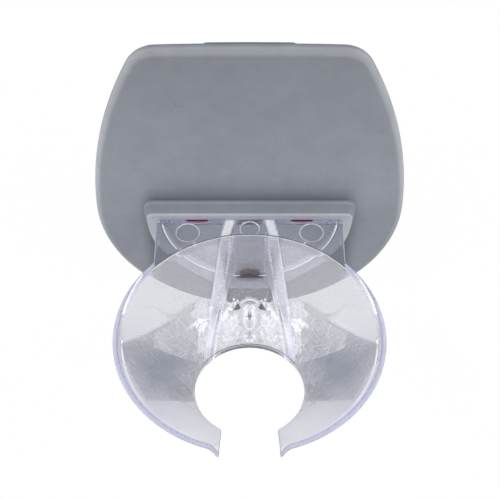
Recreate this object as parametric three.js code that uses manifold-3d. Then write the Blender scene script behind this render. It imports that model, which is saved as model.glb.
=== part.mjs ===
// A bathtub wine glass holder: a soft wall pad with a D-shaped socket, and a clear cradle plugged into it.
// Millimetres. +Z is up and +Y points into the wall. The pad's wall face is the plane y = 0, and the origin
// is the common centre of the pad's lower arc and of the socket. The glass stem comes in from -Y.
import * as THREE from 'three';
import { mergeVertices } from 'three/addons/utils/BufferGeometryUtils.js';
import Module from 'manifold-3d';

const wasm = await Module();
wasm.setup();

// Wall pad: a half round below, two long side arcs and a crowned top with round corners
const PAD_RADIUS = 60;
const PAD_SIDE_RADIUS = 180;
const PAD_TOP = 82.6;
const PAD_TOP_RADIUS = 1000;
const PAD_CORNER_RADIUS = 12;
const PAD_THICKNESS = 5;
const PAD_EDGE_ROUND = 3;

// Tacky sheet on the wall side, with a lift tab past the pad's top edge
const SHEET_THICKNESS = 1;
const SHEET_INSET = 0.4;
const TAB_HALF_WIDTH = 16.5;
const TAB_REACH = 0.6;

// Stiff plate in a recess between pad and sheet, with pins that locate it in the mould
const CORE_MARGIN = 5;
const CORE_THICKNESS = 2;
const PIN_RADIUS = 1.5;
const PIN_HEIGHT = 0.9;
const PIN_X = 26;
const PIN_HEIGHTS_ON_PAD = [57, 74];
const PIN_DIMPLE_RADIUS = 0.9;
const PIN_DIMPLE_DEPTH = 0.3;

// Socket: a D-shaped collar on a stepped base, flat on top and drawn down to a thicker foot
const SOCKET_PROUD = 6.4;
const SOCKET_RADIUS = 39.8;
const SOCKET_LIP = 3;
const SOCKET_FOOT = 43;
const SOCKET_TAPER = THREE.MathUtils.degToRad(50);
const SOCKET_CORNER_RADIUS = 2.4;
const SOCKET_DRAFT = 0.9;
const SOCKET_EDGE_ROUND = 0.7;
const SOCKET_STEP = 0.5;
const SOCKET_STEP_HEIGHT = 1.2;

// Cradle: a funnel with a stem hole and a front slot with flared ends, a top web, two splayed ribs and a plug
const RIM_RADIUS = 50;
const RIM_LAND = 1.9;
const RIM_BAND = 0.5;
const BOWL_DEPTH = 37.5;
const BOWL_REACH = 55.2;
const HOLE_RADIUS = 21;
const HOLE_EDGE = 2.9;
const HOLE_LAND = 0.4;
const SLOT_HALF_WIDTH = 10.6;
const SLOT_CORNER_WIDTH = 1.1;
const SLOT_CORNER_RUN = 2.4;
const FLARE = 2.6;
const FLARE_WIDTH = 4.6;
const WEB_HALF_WIDTH = 36.3;
const WEB_THICKNESS = 2.2;
const PLUG_RADIUS = 34.5;
const PLUG_PROUD = 0.5;
const RIB_SPACING = 7.7;
const RIB_SPLAY = THREE.MathUtils.degToRad(13);
const RIB_THICKNESS = 3;
const RIB_FOOT = 31;
const RIB_ARCH = 26.5;

// Witness marks of the mould on the cradle: three ejector discs on the web and the gate behind the bowl
const MARK_DEPTH = 0.3;
const SIDE_MARK = { x: 23.9, reach: 6.1, radius: 4.5 };
const MIDDLE_MARK = { x: 0, reach: 4.2, radius: 3.7 };
const GATE_DEPTH = 26;
const GATE_RADIUS = 5.9;
const GATE_PROUD = 0.8;
const GATE_STUB_RADIUS = 1.7;
const GATE_STUB_PROUD = 1.3;

// Lock keys: D-section studs set in the core, which stand in notches of the plug's edge, flush with its front.
// The lower one is let into the socket's wall, and the upper two hang just below its lip.
const LOWER_KEY_WIDTH = 10.4;
const LOWER_KEY_RISE = 3.6;
const UPPER_KEY_WIDTH = 8.6;
const UPPER_KEY_RISE = 3;
const KEY_SEAT = 0.6;
const KEY_DROP = 0.4;
const KEY_X = 20.4;
const KEY_PROUD = 0.4;
const KEY_FLANGE = 1.5;
const KEY_FLANGE_THICKNESS = 0.9;

// Clearance between pieces that sit in one another, and the overrun of a cutter past what it cuts
const CLEARANCE = 0.3;
const OVERRUN = 1;

// Planes along Y, from the wall outwards
const sheetFront = -SHEET_THICKNESS;
const coreFront = sheetFront - CORE_THICKNESS;
const padFront = -PAD_THICKNESS;
const socketFront = padFront - SOCKET_PROUD;
const plugBack = padFront - CLEARANCE;
const plugFront = socketFront - PLUG_PROUD;
const webBack = socketFront - CLEARANCE;
const bowlCentre = socketFront - BOWL_REACH;
const keyFront = socketFront - KEY_PROUD;

const ROUND_STEPS = 56;
const FLARE_STEPS = 8;
const BEVEL_STEPS = 4;

/** Points of an arc in the plane of an outline, without its last point. */
function arc(cx, cy, radius, from, to, steps) {
  return Array.from({ length: steps }, (_, i) => {
    const angle = from + ((to - from) * i) / steps;
    return new THREE.Vector2(cx + radius * Math.cos(angle), cy + radius * Math.sin(angle));
  });
}

/** A closed skin over outlines in (x, z), listed from the wall side forwards, each at its own y. */
function loftAlongY(sections) {
  const count = sections[0].outline.length;
  const positions = sections.flatMap(({ outline, y }) => outline.flatMap((p) => [p.x, y, p.y]));
  const indices = [];
  for (let s = 0; s + 1 < sections.length; s += 1) {
    for (let i = 0; i < count; i += 1) {
      const next = (i + 1) % count;
      const back = [s * count + i, s * count + next];
      const front = back.map((index) => index + count);
      indices.push(front[0], back[0], back[1], front[0], back[1], front[1]);
    }
  }
  const last = (sections.length - 1) * count;
  THREE.ShapeUtils.triangulateShape(sections[0].outline, []).forEach(([a, b, c]) => indices.push(a, c, b));
  THREE.ShapeUtils.triangulateShape(sections.at(-1).outline, []).forEach(([a, b, c]) => {
    indices.push(last + a, last + b, last + c);
  });
  const geometry = new THREE.BufferGeometry();
  geometry.setAttribute('position', new THREE.Float32BufferAttribute(positions, 3));
  geometry.setIndex(indices);
  return geometry;
}

const prismAlongY = (outline, back, front) => loftAlongY([{ outline, y: back }, { outline, y: front }]);

/** A prism over a plan outline in (x, y), between two heights. */
function prismAlongZ(outline, low, high) {
  const geometry = new THREE.ExtrudeGeometry(new THREE.Shape(outline), {
    depth: high - low,
    bevelEnabled: false,
  });
  return geometry.translate(0, 0, low);
}

/** How far the bowl's wall bends outwards where its rim lies this far from the middle of the slot. */
function flareAt(x) {
  return FLARE * Math.max(0, 1 - (x - SLOT_HALF_WIDTH) / FLARE_WIDTH) ** 2;
}

/** Angles from the slot round to the back of the bowl, closest together along the flare. */
function bowlAngles() {
  const slotEdge = Math.asin(SLOT_HALF_WIDTH / RIM_RADIUS);
  const flareEnd = Math.asin((SLOT_HALF_WIDTH + FLARE_WIDTH) / RIM_RADIUS);
  const insideSlot = 0.9 * slotEdge;
  const spread = (from, to, steps) => Array.from({ length: steps }, (_, i) => from + ((to - from) * i) / steps);
  return [...spread(insideSlot, flareEnd, FLARE_STEPS), ...spread(flareEnd, Math.PI, ROUND_STEPS), Math.PI];
}

/** A solid turned round the bowl's axis, from (radius, height) points that start and end on the axis. */
function turnedRoundBowl(profile) {
  const right = bowlAngles();
  const left = right.slice(0, -1).reverse().map((angle) => -angle);
  const directions = [...right, ...left].map((angle) => ({
    x: Math.sin(angle),
    y: -Math.cos(angle),
    flare: Math.cos(angle) > 0 ? flareAt(RIM_RADIUS * Math.abs(Math.sin(angle))) : 0,
  }));
  const count = directions.length;
  const positions = profile.flatMap(([radius, height]) => directions.flatMap(({ x, y, flare }) => {
    const reach = radius > 0 ? radius + flare : 0;
    return [reach * x, bowlCentre + reach * y, height];
  }));
  const indices = [];
  for (let p = 0; p + 1 < profile.length; p += 1) {
    for (let i = 0; i < count; i += 1) {
      const low = [p * count + i, p * count + ((i + 1) % count)];
      const high = low.map((index) => index + count);
      if (profile[p][0] > 0) indices.push(low[0], low[1], high[1]);
      if (profile[p + 1][0] > 0) indices.push(low[0], high[1], high[0]);
    }
  }
  const geometry = new THREE.BufferGeometry();
  geometry.setAttribute('position', new THREE.Float32BufferAttribute(positions, 3));
  geometry.setIndex(indices);
  return geometry;
}

/** The boolean solid of a closed geometry. */
function solidOf(geometry) {
  const bare = geometry.clone();
  bare.deleteAttribute('normal');
  bare.deleteAttribute('uv');
  const merged = mergeVertices(bare, 1e-4);
  return new wasm.Manifold(new wasm.Mesh({
    numProp: 3,
    vertProperties: new Float32Array(merged.attributes.position.array),
    triVerts: new Uint32Array(merged.index.array),
  }));
}

const joined = (solids) => solids.reduce((whole, solid) => whole.add(solid));
const cut = (body, cutters) => cutters.reduce((left, cutter) => left.subtract(cutter), body);

/** The named mesh of a finished solid. */
function pieceOf(name, solid, material) {
  const { vertProperties, triVerts } = solid.getMesh();
  const geometry = new THREE.BufferGeometry();
  geometry.setAttribute('position', new THREE.BufferAttribute(vertProperties, 3));
  geometry.setIndex(new THREE.BufferAttribute(triVerts, 1));
  geometry.computeVertexNormals();
  const mesh = new THREE.Mesh(geometry, material);
  mesh.name = name;
  return mesh;
}

/** The upper point where two circles meet, on the side of positive x. */
function meetingOfCircles(first, firstRadius, second, secondRadius) {
  const span = second.clone().sub(first);
  const length = span.length();
  const along = (length ** 2 + firstRadius ** 2 - secondRadius ** 2) / (2 * length);
  const aside = Math.sqrt(firstRadius ** 2 - along ** 2);
  const unit = span.divideScalar(length);
  const foot = first.clone().addScaledVector(unit, along);
  const normal = new THREE.Vector2(-unit.y, unit.x);
  return [aside, -aside]
    .map((offset) => foot.clone().addScaledVector(normal, offset))
    .reduce((best, point) => (point.y > best.y ? point : best));
}

/** The pad's outline in (x, z), drawn in evenly by an inset. */
function padOutline(inset) {
  const side = new THREE.Vector2(PAD_RADIUS - PAD_SIDE_RADIUS, 0);
  const top = new THREE.Vector2(0, PAD_TOP - PAD_TOP_RADIUS);
  const corner = meetingOfCircles(
    side, PAD_SIDE_RADIUS - PAD_CORNER_RADIUS, top, PAD_TOP_RADIUS - PAD_CORNER_RADIUS);
  const sideEnd = corner.clone().sub(side).angle();
  const topStart = corner.clone().sub(top).angle();
  const sideRadius = PAD_SIDE_RADIUS - inset;
  const cornerRadius = PAD_CORNER_RADIUS - inset;
  return [
    ...arc(0, 0, PAD_RADIUS - inset, Math.PI, 2 * Math.PI, 48),
    ...arc(side.x, side.y, sideRadius, 0, sideEnd, 12),
    ...arc(corner.x, corner.y, cornerRadius, sideEnd, topStart, 8),
    ...arc(top.x, top.y, PAD_TOP_RADIUS - inset, topStart, Math.PI - topStart, 8),
    ...arc(-corner.x, corner.y, cornerRadius, Math.PI - topStart, Math.PI - sideEnd, 8),
    ...arc(-side.x, side.y, sideRadius, Math.PI - sideEnd, Math.PI, 12),
  ];
}

/** The socket collar's outline in (x, z), drawn in evenly by an inset. Its foot is tangent to the round. */
function socketOutline(inset) {
  const radius = SOCKET_RADIUS - inset;
  const foot = SOCKET_FOOT - inset;
  const top = SOCKET_LIP + CLEARANCE - inset;
  const corner = SOCKET_CORNER_RADIUS - inset / 2;
  const footHalfWidth = (radius - foot * Math.sin(SOCKET_TAPER)) / Math.cos(SOCKET_TAPER);
  const { PI } = Math;
  return [
    new THREE.Vector2(-footHalfWidth, -foot),
    new THREE.Vector2(footHalfWidth, -foot),
    ...arc(0, 0, radius, -SOCKET_TAPER, 0, 16),
    ...arc(radius - corner, top - corner, corner, 0, PI / 2, 5),
    ...arc(corner - radius, top - corner, corner, PI / 2, PI, 5),
    ...arc(0, 0, radius, PI, PI + SOCKET_TAPER, 16),
    new THREE.Vector2(-radius * Math.cos(SOCKET_TAPER), -radius * Math.sin(SOCKET_TAPER)),
  ];
}

/** The half-round outline that plug and socket share, grown evenly by a clearance. */
function plugOutline(grow) {
  const radius = PLUG_RADIUS + grow;
  const round = arc(0, 0, radius, Math.PI, 2 * Math.PI, 64);
  const corners = [new THREE.Vector2(radius, grow), new THREE.Vector2(-radius, grow)];
  return grow > 0 ? [...round, new THREE.Vector2(radius, 0), ...corners] : [...round, corners[0]];
}

/** A lock key's D section in (x, z), grown evenly, with its flat against the socket's wall. */
function keyOutline({ x, flat, tip, width, rise }, grow) {
  const radius = (width ** 2 / 4 + rise ** 2) / (2 * rise) + grow;
  const centre = rise + grow - radius;
  const start = Math.asin((-grow - centre) / radius);
  const round = arc(0, centre, radius, start, Math.PI - start, 16);
  round.push(new THREE.Vector2(radius * Math.cos(Math.PI - start), -grow));
  const placed = round.map((p) => new THREE.Vector2(x + p.x, flat + tip * p.y));
  return tip > 0 ? placed : placed.reverse();
}

const socketWall = PLUG_RADIUS + CLEARANCE;
const upperKey = { flat: CLEARANCE - KEY_DROP, tip: -1, width: UPPER_KEY_WIDTH, rise: UPPER_KEY_RISE };
const KEYS = {
  left: { ...upperKey, x: -KEY_X },
  right: { ...upperKey, x: KEY_X },
  bottom: { flat: -socketWall - KEY_SEAT, tip: 1, width: LOWER_KEY_WIDTH, rise: LOWER_KEY_RISE, x: 0 },
};
const keys = Object.entries(KEYS);

/** A cylinder along Y, from a back plane to a front plane. */
function rod(x, z, radius, back, front, steps = 16) {
  return solidOf(prismAlongY(arc(x, z, radius, 0, 2 * Math.PI, steps), back, front));
}

const pinSpots = PIN_HEIGHTS_ON_PAD.flatMap((z) => [{ x: -PIN_X, z }, { x: PIN_X, z }]);

/** The soft pad with its collar, open at the back for the core and at the front for the plug. */
function gripPad() {
  const slab = [{ outline: padOutline(0), y: sheetFront }];
  const stepFront = padFront - SOCKET_STEP_HEIGHT;
  const collar = [
    { outline: socketOutline(-SOCKET_DRAFT - SOCKET_STEP), y: padFront + OVERRUN },
    { outline: socketOutline(-SOCKET_DRAFT - SOCKET_STEP), y: stepFront },
    { outline: socketOutline(-SOCKET_DRAFT), y: stepFront },
  ];
  for (let step = 0; step <= BEVEL_STEPS; step += 1) {
    const angle = (step / BEVEL_STEPS) * (Math.PI / 2);
    const drawnIn = 1 - Math.cos(angle);
    const left = 1 - Math.sin(angle);
    slab.push({ outline: padOutline(PAD_EDGE_ROUND * drawnIn), y: padFront + PAD_EDGE_ROUND * left });
    collar.push({
      outline: socketOutline(SOCKET_EDGE_ROUND * drawnIn),
      y: socketFront + SOCKET_EDGE_ROUND * left,
    });
  }
  const recess = prismAlongY(
    padOutline(CORE_MARGIN - CLEARANCE), sheetFront + OVERRUN, coreFront - CLEARANCE);
  const cavity = prismAlongY(plugOutline(CLEARANCE), padFront, socketFront - OVERRUN);
  return cut(joined([slab, collar].map((sections) => solidOf(loftAlongY(sections)))), [
    solidOf(recess),
    solidOf(cavity),
    ...keys.map(([, key]) => solidOf(
      prismAlongY(keyOutline(key, CLEARANCE), coreFront, keyFront - CLEARANCE))),
    ...pinSpots.map(({ x, z }) => rod(
      x, z, PIN_RADIUS + CLEARANCE, coreFront, coreFront - PIN_HEIGHT - CLEARANCE)),
    ...pinSpots.map(({ x, z }) => rod(
      x, z, PIN_DIMPLE_RADIUS, padFront + PIN_DIMPLE_DEPTH, padFront - OVERRUN, 10)),
  ]);
}

/** The stiff plate behind the pad, with locating pins and a seat and window for each key. */
function corePlate() {
  const plate = solidOf(prismAlongY(padOutline(CORE_MARGIN), sheetFront, coreFront));
  const pins = pinSpots.map(({ x, z }) => rod(
    x, z, PIN_RADIUS, coreFront + OVERRUN, coreFront - PIN_HEIGHT));
  return cut(joined([plate, ...pins]), keys.flatMap(([, key]) => [
    solidOf(prismAlongY(keyOutline(key, CLEARANCE), 0, coreFront - OVERRUN)),
    solidOf(prismAlongY(
      keyOutline(key, KEY_FLANGE + CLEARANCE), 0, sheetFront - KEY_FLANGE_THICKNESS - CLEARANCE)),
  ]));
}

/** The tacky sheet that meets the wall, with its lift tab at the top. */
function wallSheet() {
  const sheet = solidOf(prismAlongY(padOutline(SHEET_INSET), 0, sheetFront));
  const tabTop = PAD_TOP + TAB_REACH;
  const tabFoot = PAD_TOP - PAD_CORNER_RADIUS;
  const tab = [
    [-TAB_HALF_WIDTH, tabFoot],
    [TAB_HALF_WIDTH, tabFoot],
    [TAB_HALF_WIDTH, PAD_TOP],
    [TAB_HALF_WIDTH - TAB_REACH, tabTop],
    [TAB_REACH - TAB_HALF_WIDTH, tabTop],
    [-TAB_HALF_WIDTH, PAD_TOP],
  ].map(([x, z]) => new THREE.Vector2(x, z));
  return sheet.add(solidOf(prismAlongY(tab, 0, sheetFront)));
}

/** One lock key with the flange that holds it behind the core. */
function lockKey(key) {
  return joined([
    solidOf(prismAlongY(keyOutline(key, 0), sheetFront, keyFront)),
    solidOf(prismAlongY(
      keyOutline(key, KEY_FLANGE), sheetFront, sheetFront - KEY_FLANGE_THICKNESS)),
  ]);
}

const innerRim = RIM_RADIUS - RIM_LAND;
const innerDepth = BOWL_DEPTH - HOLE_EDGE;
const wallSlope = Math.atan2(innerDepth, innerRim - HOLE_RADIUS);

/** The space inside the bowl and through its stem hole. */
function bowlSpace() {
  return solidOf(turnedRoundBowl([
    [0, -BOWL_DEPTH - OVERRUN],
    [HOLE_RADIUS, -BOWL_DEPTH - OVERRUN],
    [HOLE_RADIUS, -innerDepth],
    [innerRim, 0],
    [innerRim, OVERRUN],
    [0, OVERRUN],
  ]));
}

/** The outer form of the bowl, still filled. */
function bowlForm() {
  return solidOf(turnedRoundBowl([
    [0, -BOWL_DEPTH],
    [HOLE_RADIUS + HOLE_LAND, -BOWL_DEPTH],
    [RIM_RADIUS, -RIM_BAND],
    [RIM_RADIUS, 0],
    [0, 0],
  ]));
}

/** The way in for the stem: a slot along Y that widens in an elliptic corner at each tip of the rim. */
function stemSlot() {
  const cornerX = SLOT_HALF_WIDTH + SLOT_CORNER_WIDTH;
  const rimY = -Math.sqrt((RIM_RADIUS + flareAt(cornerX)) ** 2 - cornerX ** 2);
  const reach = RIM_RADIUS + FLARE + SLOT_HALF_WIDTH;
  const rightSide = [
    new THREE.Vector2(SLOT_HALF_WIDTH, 0),
    ...arc(1, 1, 1, Math.PI, 1.5 * Math.PI, 8).map((p) => new THREE.Vector2(
      SLOT_HALF_WIDTH + SLOT_CORNER_WIDTH * p.x, rimY + SLOT_CORNER_RUN * p.y)),
    new THREE.Vector2(cornerX, rimY),
    new THREE.Vector2(cornerX, -reach),
  ];
  const leftSide = rightSide.map((p) => new THREE.Vector2(-p.x, p.y)).reverse();
  const outline = [...leftSide, ...rightSide];
  return solidOf(
    prismAlongZ(outline, -BOWL_DEPTH - OVERRUN, OVERRUN).translate(0, bowlCentre, 0));
}

/** The flat web between plug and bowl, flush with the rim. */
function topWeb() {
  const outline = [
    [-WEB_HALF_WIDTH, bowlCentre],
    [WEB_HALF_WIDTH, bowlCentre],
    [WEB_HALF_WIDTH, webBack],
    [-WEB_HALF_WIDTH, webBack],
  ].map(([x, y]) => new THREE.Vector2(x, y));
  return solidOf(prismAlongZ(outline, -WEB_THICKNESS, 0));
}

/** One rib from plug to stem hole, arched below, turned outwards by the splay. */
function rib(side) {
  const outline = new THREE.Shape();
  outline.moveTo(-OVERRUN, 0);
  outline.lineTo(-OVERRUN, -RIB_FOOT);
  outline.lineTo(0, -RIB_FOOT);
  outline.quadraticCurveTo(BOWL_REACH / 4, -RIB_ARCH, BOWL_REACH - HOLE_RADIUS, -BOWL_DEPTH);
  outline.lineTo(BOWL_REACH - HOLE_RADIUS + RIB_SPACING, -BOWL_DEPTH);
  outline.lineTo(BOWL_REACH - HOLE_RADIUS + RIB_SPACING, 0);
  const plate = new THREE.ExtrudeGeometry(outline, {
    depth: RIB_THICKNESS,
    bevelEnabled: false,
    curveSegments: 12,
  });
  plate.translate(0, 0, -RIB_THICKNESS / 2).rotateX(Math.PI / 2);
  plate.rotateZ(-Math.PI / 2 + side * RIB_SPLAY);
  return solidOf(plate.translate(side * RIB_SPACING, plugFront, 0));
}

/** A disc on the outside of the bowl's back wall, square to it, with its stub: the moulding gate. */
function gate() {
  const outward = new THREE.Vector3(0, Math.sin(wallSlope), -Math.cos(wallSlope));
  const turn = new THREE.Quaternion().setFromUnitVectors(new THREE.Vector3(0, 1, 0), outward);
  const wallRadius = HOLE_RADIUS + (BOWL_DEPTH - GATE_DEPTH) / Math.tan(wallSlope);
  const spot = new THREE.Vector3(0, bowlCentre + wallRadius, -GATE_DEPTH);
  return joined([[GATE_RADIUS, GATE_PROUD], [GATE_STUB_RADIUS, GATE_STUB_PROUD]].map(([radius, proud]) => {
    const height = proud + HOLE_EDGE / 2;
    const disc = new THREE.CylinderGeometry(radius, radius, height, 32)
      .translate(0, proud - height / 2, 0)
      .applyQuaternion(turn);
    return solidOf(disc.translate(spot.x, spot.y, spot.z));
  }));
}

/** The shallow discs that ejector pins leave on the web. */
function ejectorMarks() {
  const spots = [SIDE_MARK, { ...SIDE_MARK, x: -SIDE_MARK.x }, MIDDLE_MARK];
  return spots.map(({ x, reach, radius }) => solidOf(prismAlongZ(
    arc(x, socketFront - reach, radius, 0, 2 * Math.PI, 32), -MARK_DEPTH, OVERRUN)));
}

/** The clear cradle, one moulding: bowl, web, ribs and plug. */
function glassCradle() {
  const plug = solidOf(prismAlongY(plugOutline(0), plugBack, plugFront));
  const form = joined([bowlForm(), topWeb(), rib(-1), rib(1), plug, gate()]);
  const notches = keys.map(([, key]) => solidOf(
    prismAlongY(keyOutline(key, CLEARANCE), padFront, keyFront - CLEARANCE)));
  return cut(form, [bowlSpace(), stemSlot(), ...notches, ...ejectorMarks()]);
}

const soft = (color) => new THREE.MeshStandardMaterial({ color, roughness: 0.55, metalness: 0 });
const clear = new THREE.MeshStandardMaterial({
  color: '#dde0ea',
  roughness: 0.06,
  metalness: 0,
  transparent: true,
  opacity: 0.35,
});

const holder = new THREE.Group();
holder.add(
  pieceOf('wall_sheet', wallSheet(), soft('#7c8089')),
  pieceOf('core_plate', corePlate(), soft('#c9ccd2')),
  pieceOf('grip_pad', gripPad(), soft('#8c9099')),
  pieceOf('glass_cradle', glassCradle(), clear),
  ...keys.map(([place, key]) => pieceOf(`lock_key_${place}`, lockKey(key), soft('#7a2346'))),
);

export default holder;
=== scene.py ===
"""Looks of a bathtub wine glass holder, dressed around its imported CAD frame.

A grey silicone wall pad carries a D-shaped socket. A clear moulded cradle plugs into it, held by three
wine-red lock keys. A stiff core plate and a tacky sheet lie behind the pad. Shapes are worked out in
millimetres, with +Z up and +Y into the wall, and turn to metres where a mesh is made.
"""

import logging
import math
from collections.abc import Callable, Mapping, Sequence
from dataclasses import dataclass, field
from enum import Enum

import bmesh
import bpy
import numpy as np
from mathutils import Matrix, Vector


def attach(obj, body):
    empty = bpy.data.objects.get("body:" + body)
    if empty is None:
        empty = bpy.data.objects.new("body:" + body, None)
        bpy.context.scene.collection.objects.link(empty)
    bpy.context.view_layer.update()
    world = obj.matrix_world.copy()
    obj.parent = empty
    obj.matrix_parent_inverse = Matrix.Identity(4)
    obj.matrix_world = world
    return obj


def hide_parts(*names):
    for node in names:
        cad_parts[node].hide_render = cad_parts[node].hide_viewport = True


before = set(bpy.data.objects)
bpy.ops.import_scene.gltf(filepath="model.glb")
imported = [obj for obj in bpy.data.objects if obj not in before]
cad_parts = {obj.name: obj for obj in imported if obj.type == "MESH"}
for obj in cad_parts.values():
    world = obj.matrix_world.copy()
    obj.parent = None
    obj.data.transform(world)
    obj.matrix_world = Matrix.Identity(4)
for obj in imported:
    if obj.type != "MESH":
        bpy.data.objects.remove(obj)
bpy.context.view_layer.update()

MM = 0.001
TINY = 1e-9
FAR = 9.0  # offset in millimetres where no line or zone is near
OUTSIDE = -1.0  # depth in millimetres of points beside a zone
HALF = 0.5  # middle of a share, of a noise and of a soft edge
OUTLINE_STEP = 0.5  # millimetres between an outline's points before they are taken by direction
log = logging.getLogger("wine_glass_holder")

Array = np.ndarray
Colour = tuple[float, float, float, float]
Field = Callable[[Array], Array]
Material = bpy.types.Material
Node = bpy.types.Node
Piece = bpy.types.Object
Socket = bpy.types.NodeSocket
Tree = bpy.types.NodeTree
Setting = float | str | bool | Sequence[float]
Signal = float | Node | Socket


class Body(Enum):
    """The CAD bodies that pieces ride on."""

    PAD = "pad"
    CRADLE = "cradle"


class Slot(Enum):
    """The record's material slots of the pieces made here."""

    SHEET = "tacky_silicone"
    PAD = "grey_silicone"
    CRADLE = "clear_plastic"
    KEY = "red_plastic"


class Shading(Enum):
    """How a mesh is shaded: smooth all over, or with edges kept sharp above an angle in degrees."""

    SMOOTH = 180.0
    CREASED = 32.0


class Zone(Enum):
    """Point attributes of the clear moulding: shares from 0 to 1, and depths and offsets in millimetres."""

    FROST = "share_frosted_by_the_mould"
    VEIL = "share_of_milky_speckle"
    # painted light and shade round the gate
    FLOW = "share_of_painted_light_round_gate"
    # painted light in milky strips before and beside the ribs
    RIB = "depth_in_strip_before_rib"
    SIDE = "depth_in_strip_beside_rib"
    # painted light in the rim's blue-violet glow
    RIM = "depth_in_rim_land"
    # painted highlights along edges, over the rim and on the ejector rings
    LINE = "offset_from_bright_edge"
    RING = "offset_from_mould_ring"
    # painted shade along edges
    DARK = "offset_from_dark_edge"
    # haziness, with painted light in some zones of the bowl
    HAZE = "share_of_haze_and_painted_light"
    DULL = "share_of_dulled_polish"
    # painted shade in panels on the bowl's sides, lighter in a patch within them
    PANEL = "depth_in_panel_of_painted_shade"
    LIGHTER_PATCH = "depth_in_lighter_patch_of_panel"


# Colour and nodes


def linear(hex_colour: str) -> Colour:
    """Turns an sRGB hex colour into linear RGBA.

    Args:
        hex_colour: Colour as "#rrggbb".

    Returns:
        Linear red, green and blue, and an alpha of 1.
    """
    channels = [int(hex_colour[i:i + 2], 16) / 255 for i in (1, 3, 5)]
    # the sRGB curve: straight near black, a power above it
    red, green, blue = (c / 12.92 if c <= 0.04045 else ((c + 0.055) / 1.055) ** 2.4 for c in channels)
    return red, green, blue, 1.0


def add_node(
    tree: Tree,
    kind: str,
    inputs: Mapping[str | int, Setting | Node | Socket] | None = None,
    **settings: Setting,
) -> Node:
    """Adds one shader node with its settings and links.

    Args:
        tree: Node tree that takes the node.
        kind: Node type without Blender's ShaderNode prefix.
        inputs: By name or number of an input socket, its value, or the output socket that is linked to it,
            or a node, whose first output in use is linked.
        **settings: Node properties by name.

    Returns:
        The new node.
    """
    node = tree.nodes.new("ShaderNode" + kind)
    for name, value in settings.items():
        setattr(node, name, value)
    for name, value in (inputs or {}).items():
        # sockets for other kinds of data repeat a name, and only those in use are enabled
        named = [s for s in node.inputs if s.enabled and s.name == name] or [node.inputs[name]]
        if isinstance(value, Node):
            value = next(s for s in value.outputs if s.enabled)
        if isinstance(value, Socket):
            tree.links.new(value, named[0])
        else:
            named[0].default_value = value
    return node


def new_material(name: str) -> tuple[Material, Tree]:
    """Makes an empty node material.

    Args:
        name: Material name.

    Returns:
        The material and its cleared node tree.
    """
    material = bpy.data.materials.new(name)
    material.use_nodes = True
    material.node_tree.nodes.clear()
    return material, material.node_tree


def per_metre(size_mm: float) -> float:
    """Noise scale in object space, in metres, for features of a size in millimetres."""
    return 1 / (size_mm * MM)


# Finishes


@dataclass(frozen=True)
class Shade:
    """Painted shade on the pad, whose tone grows along Z, within two depths and a width, in millimetres."""

    tone: str
    clear_z: float
    full_z: float
    depths: tuple[float, float]
    half_width: float
    power: float = 1.0
    soft_side: float = 4.0
    soft_depth: float = 0.25

    def over(self, tree: Tree, place: Socket, colour: Node) -> Node:
        """Darkens a colour with painted shade.

        Args:
            tree: Node tree of the material.
            place: Socket with the place on the surface.
            colour: Node with the colour elsewhere.

        Returns:
            Node with the colour.
        """
        axes = add_node(tree, "SeparateXYZ", {"Vector": place}).outputs
        aside = add_node(tree, "Math", {0: axes["X"]}, operation="ABSOLUTE")
        front, back = self.depths
        bounds = (
            (aside, self.half_width + self.soft_side, self.half_width - self.soft_side),
            (axes["Y"], front - self.soft_depth, front + self.soft_depth),
            (axes["Y"], back + self.soft_depth, back - self.soft_depth))
        along = add_node(tree, "MapRange", {
            "Value": axes["Z"], "From Min": self.clear_z * MM, "From Max": self.full_z * MM})
        share = add_node(tree, "Math", {0: along, 1: self.power}, operation="POWER")
        for value, clear, full in bounds:
            within = add_node(
                tree, "MapRange", {"Value": value, "From Min": clear * MM, "From Max": full * MM},
                interpolation_type="SMOOTHSTEP")
            share = add_node(tree, "Math", {0: share, 1: within}, operation="MULTIPLY")
        return add_node(
            tree, "Mix", {"Factor": share, "A": colour, "B": linear(self.tone)},
            data_type="RGBA", blend_type="MULTIPLY")


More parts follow.
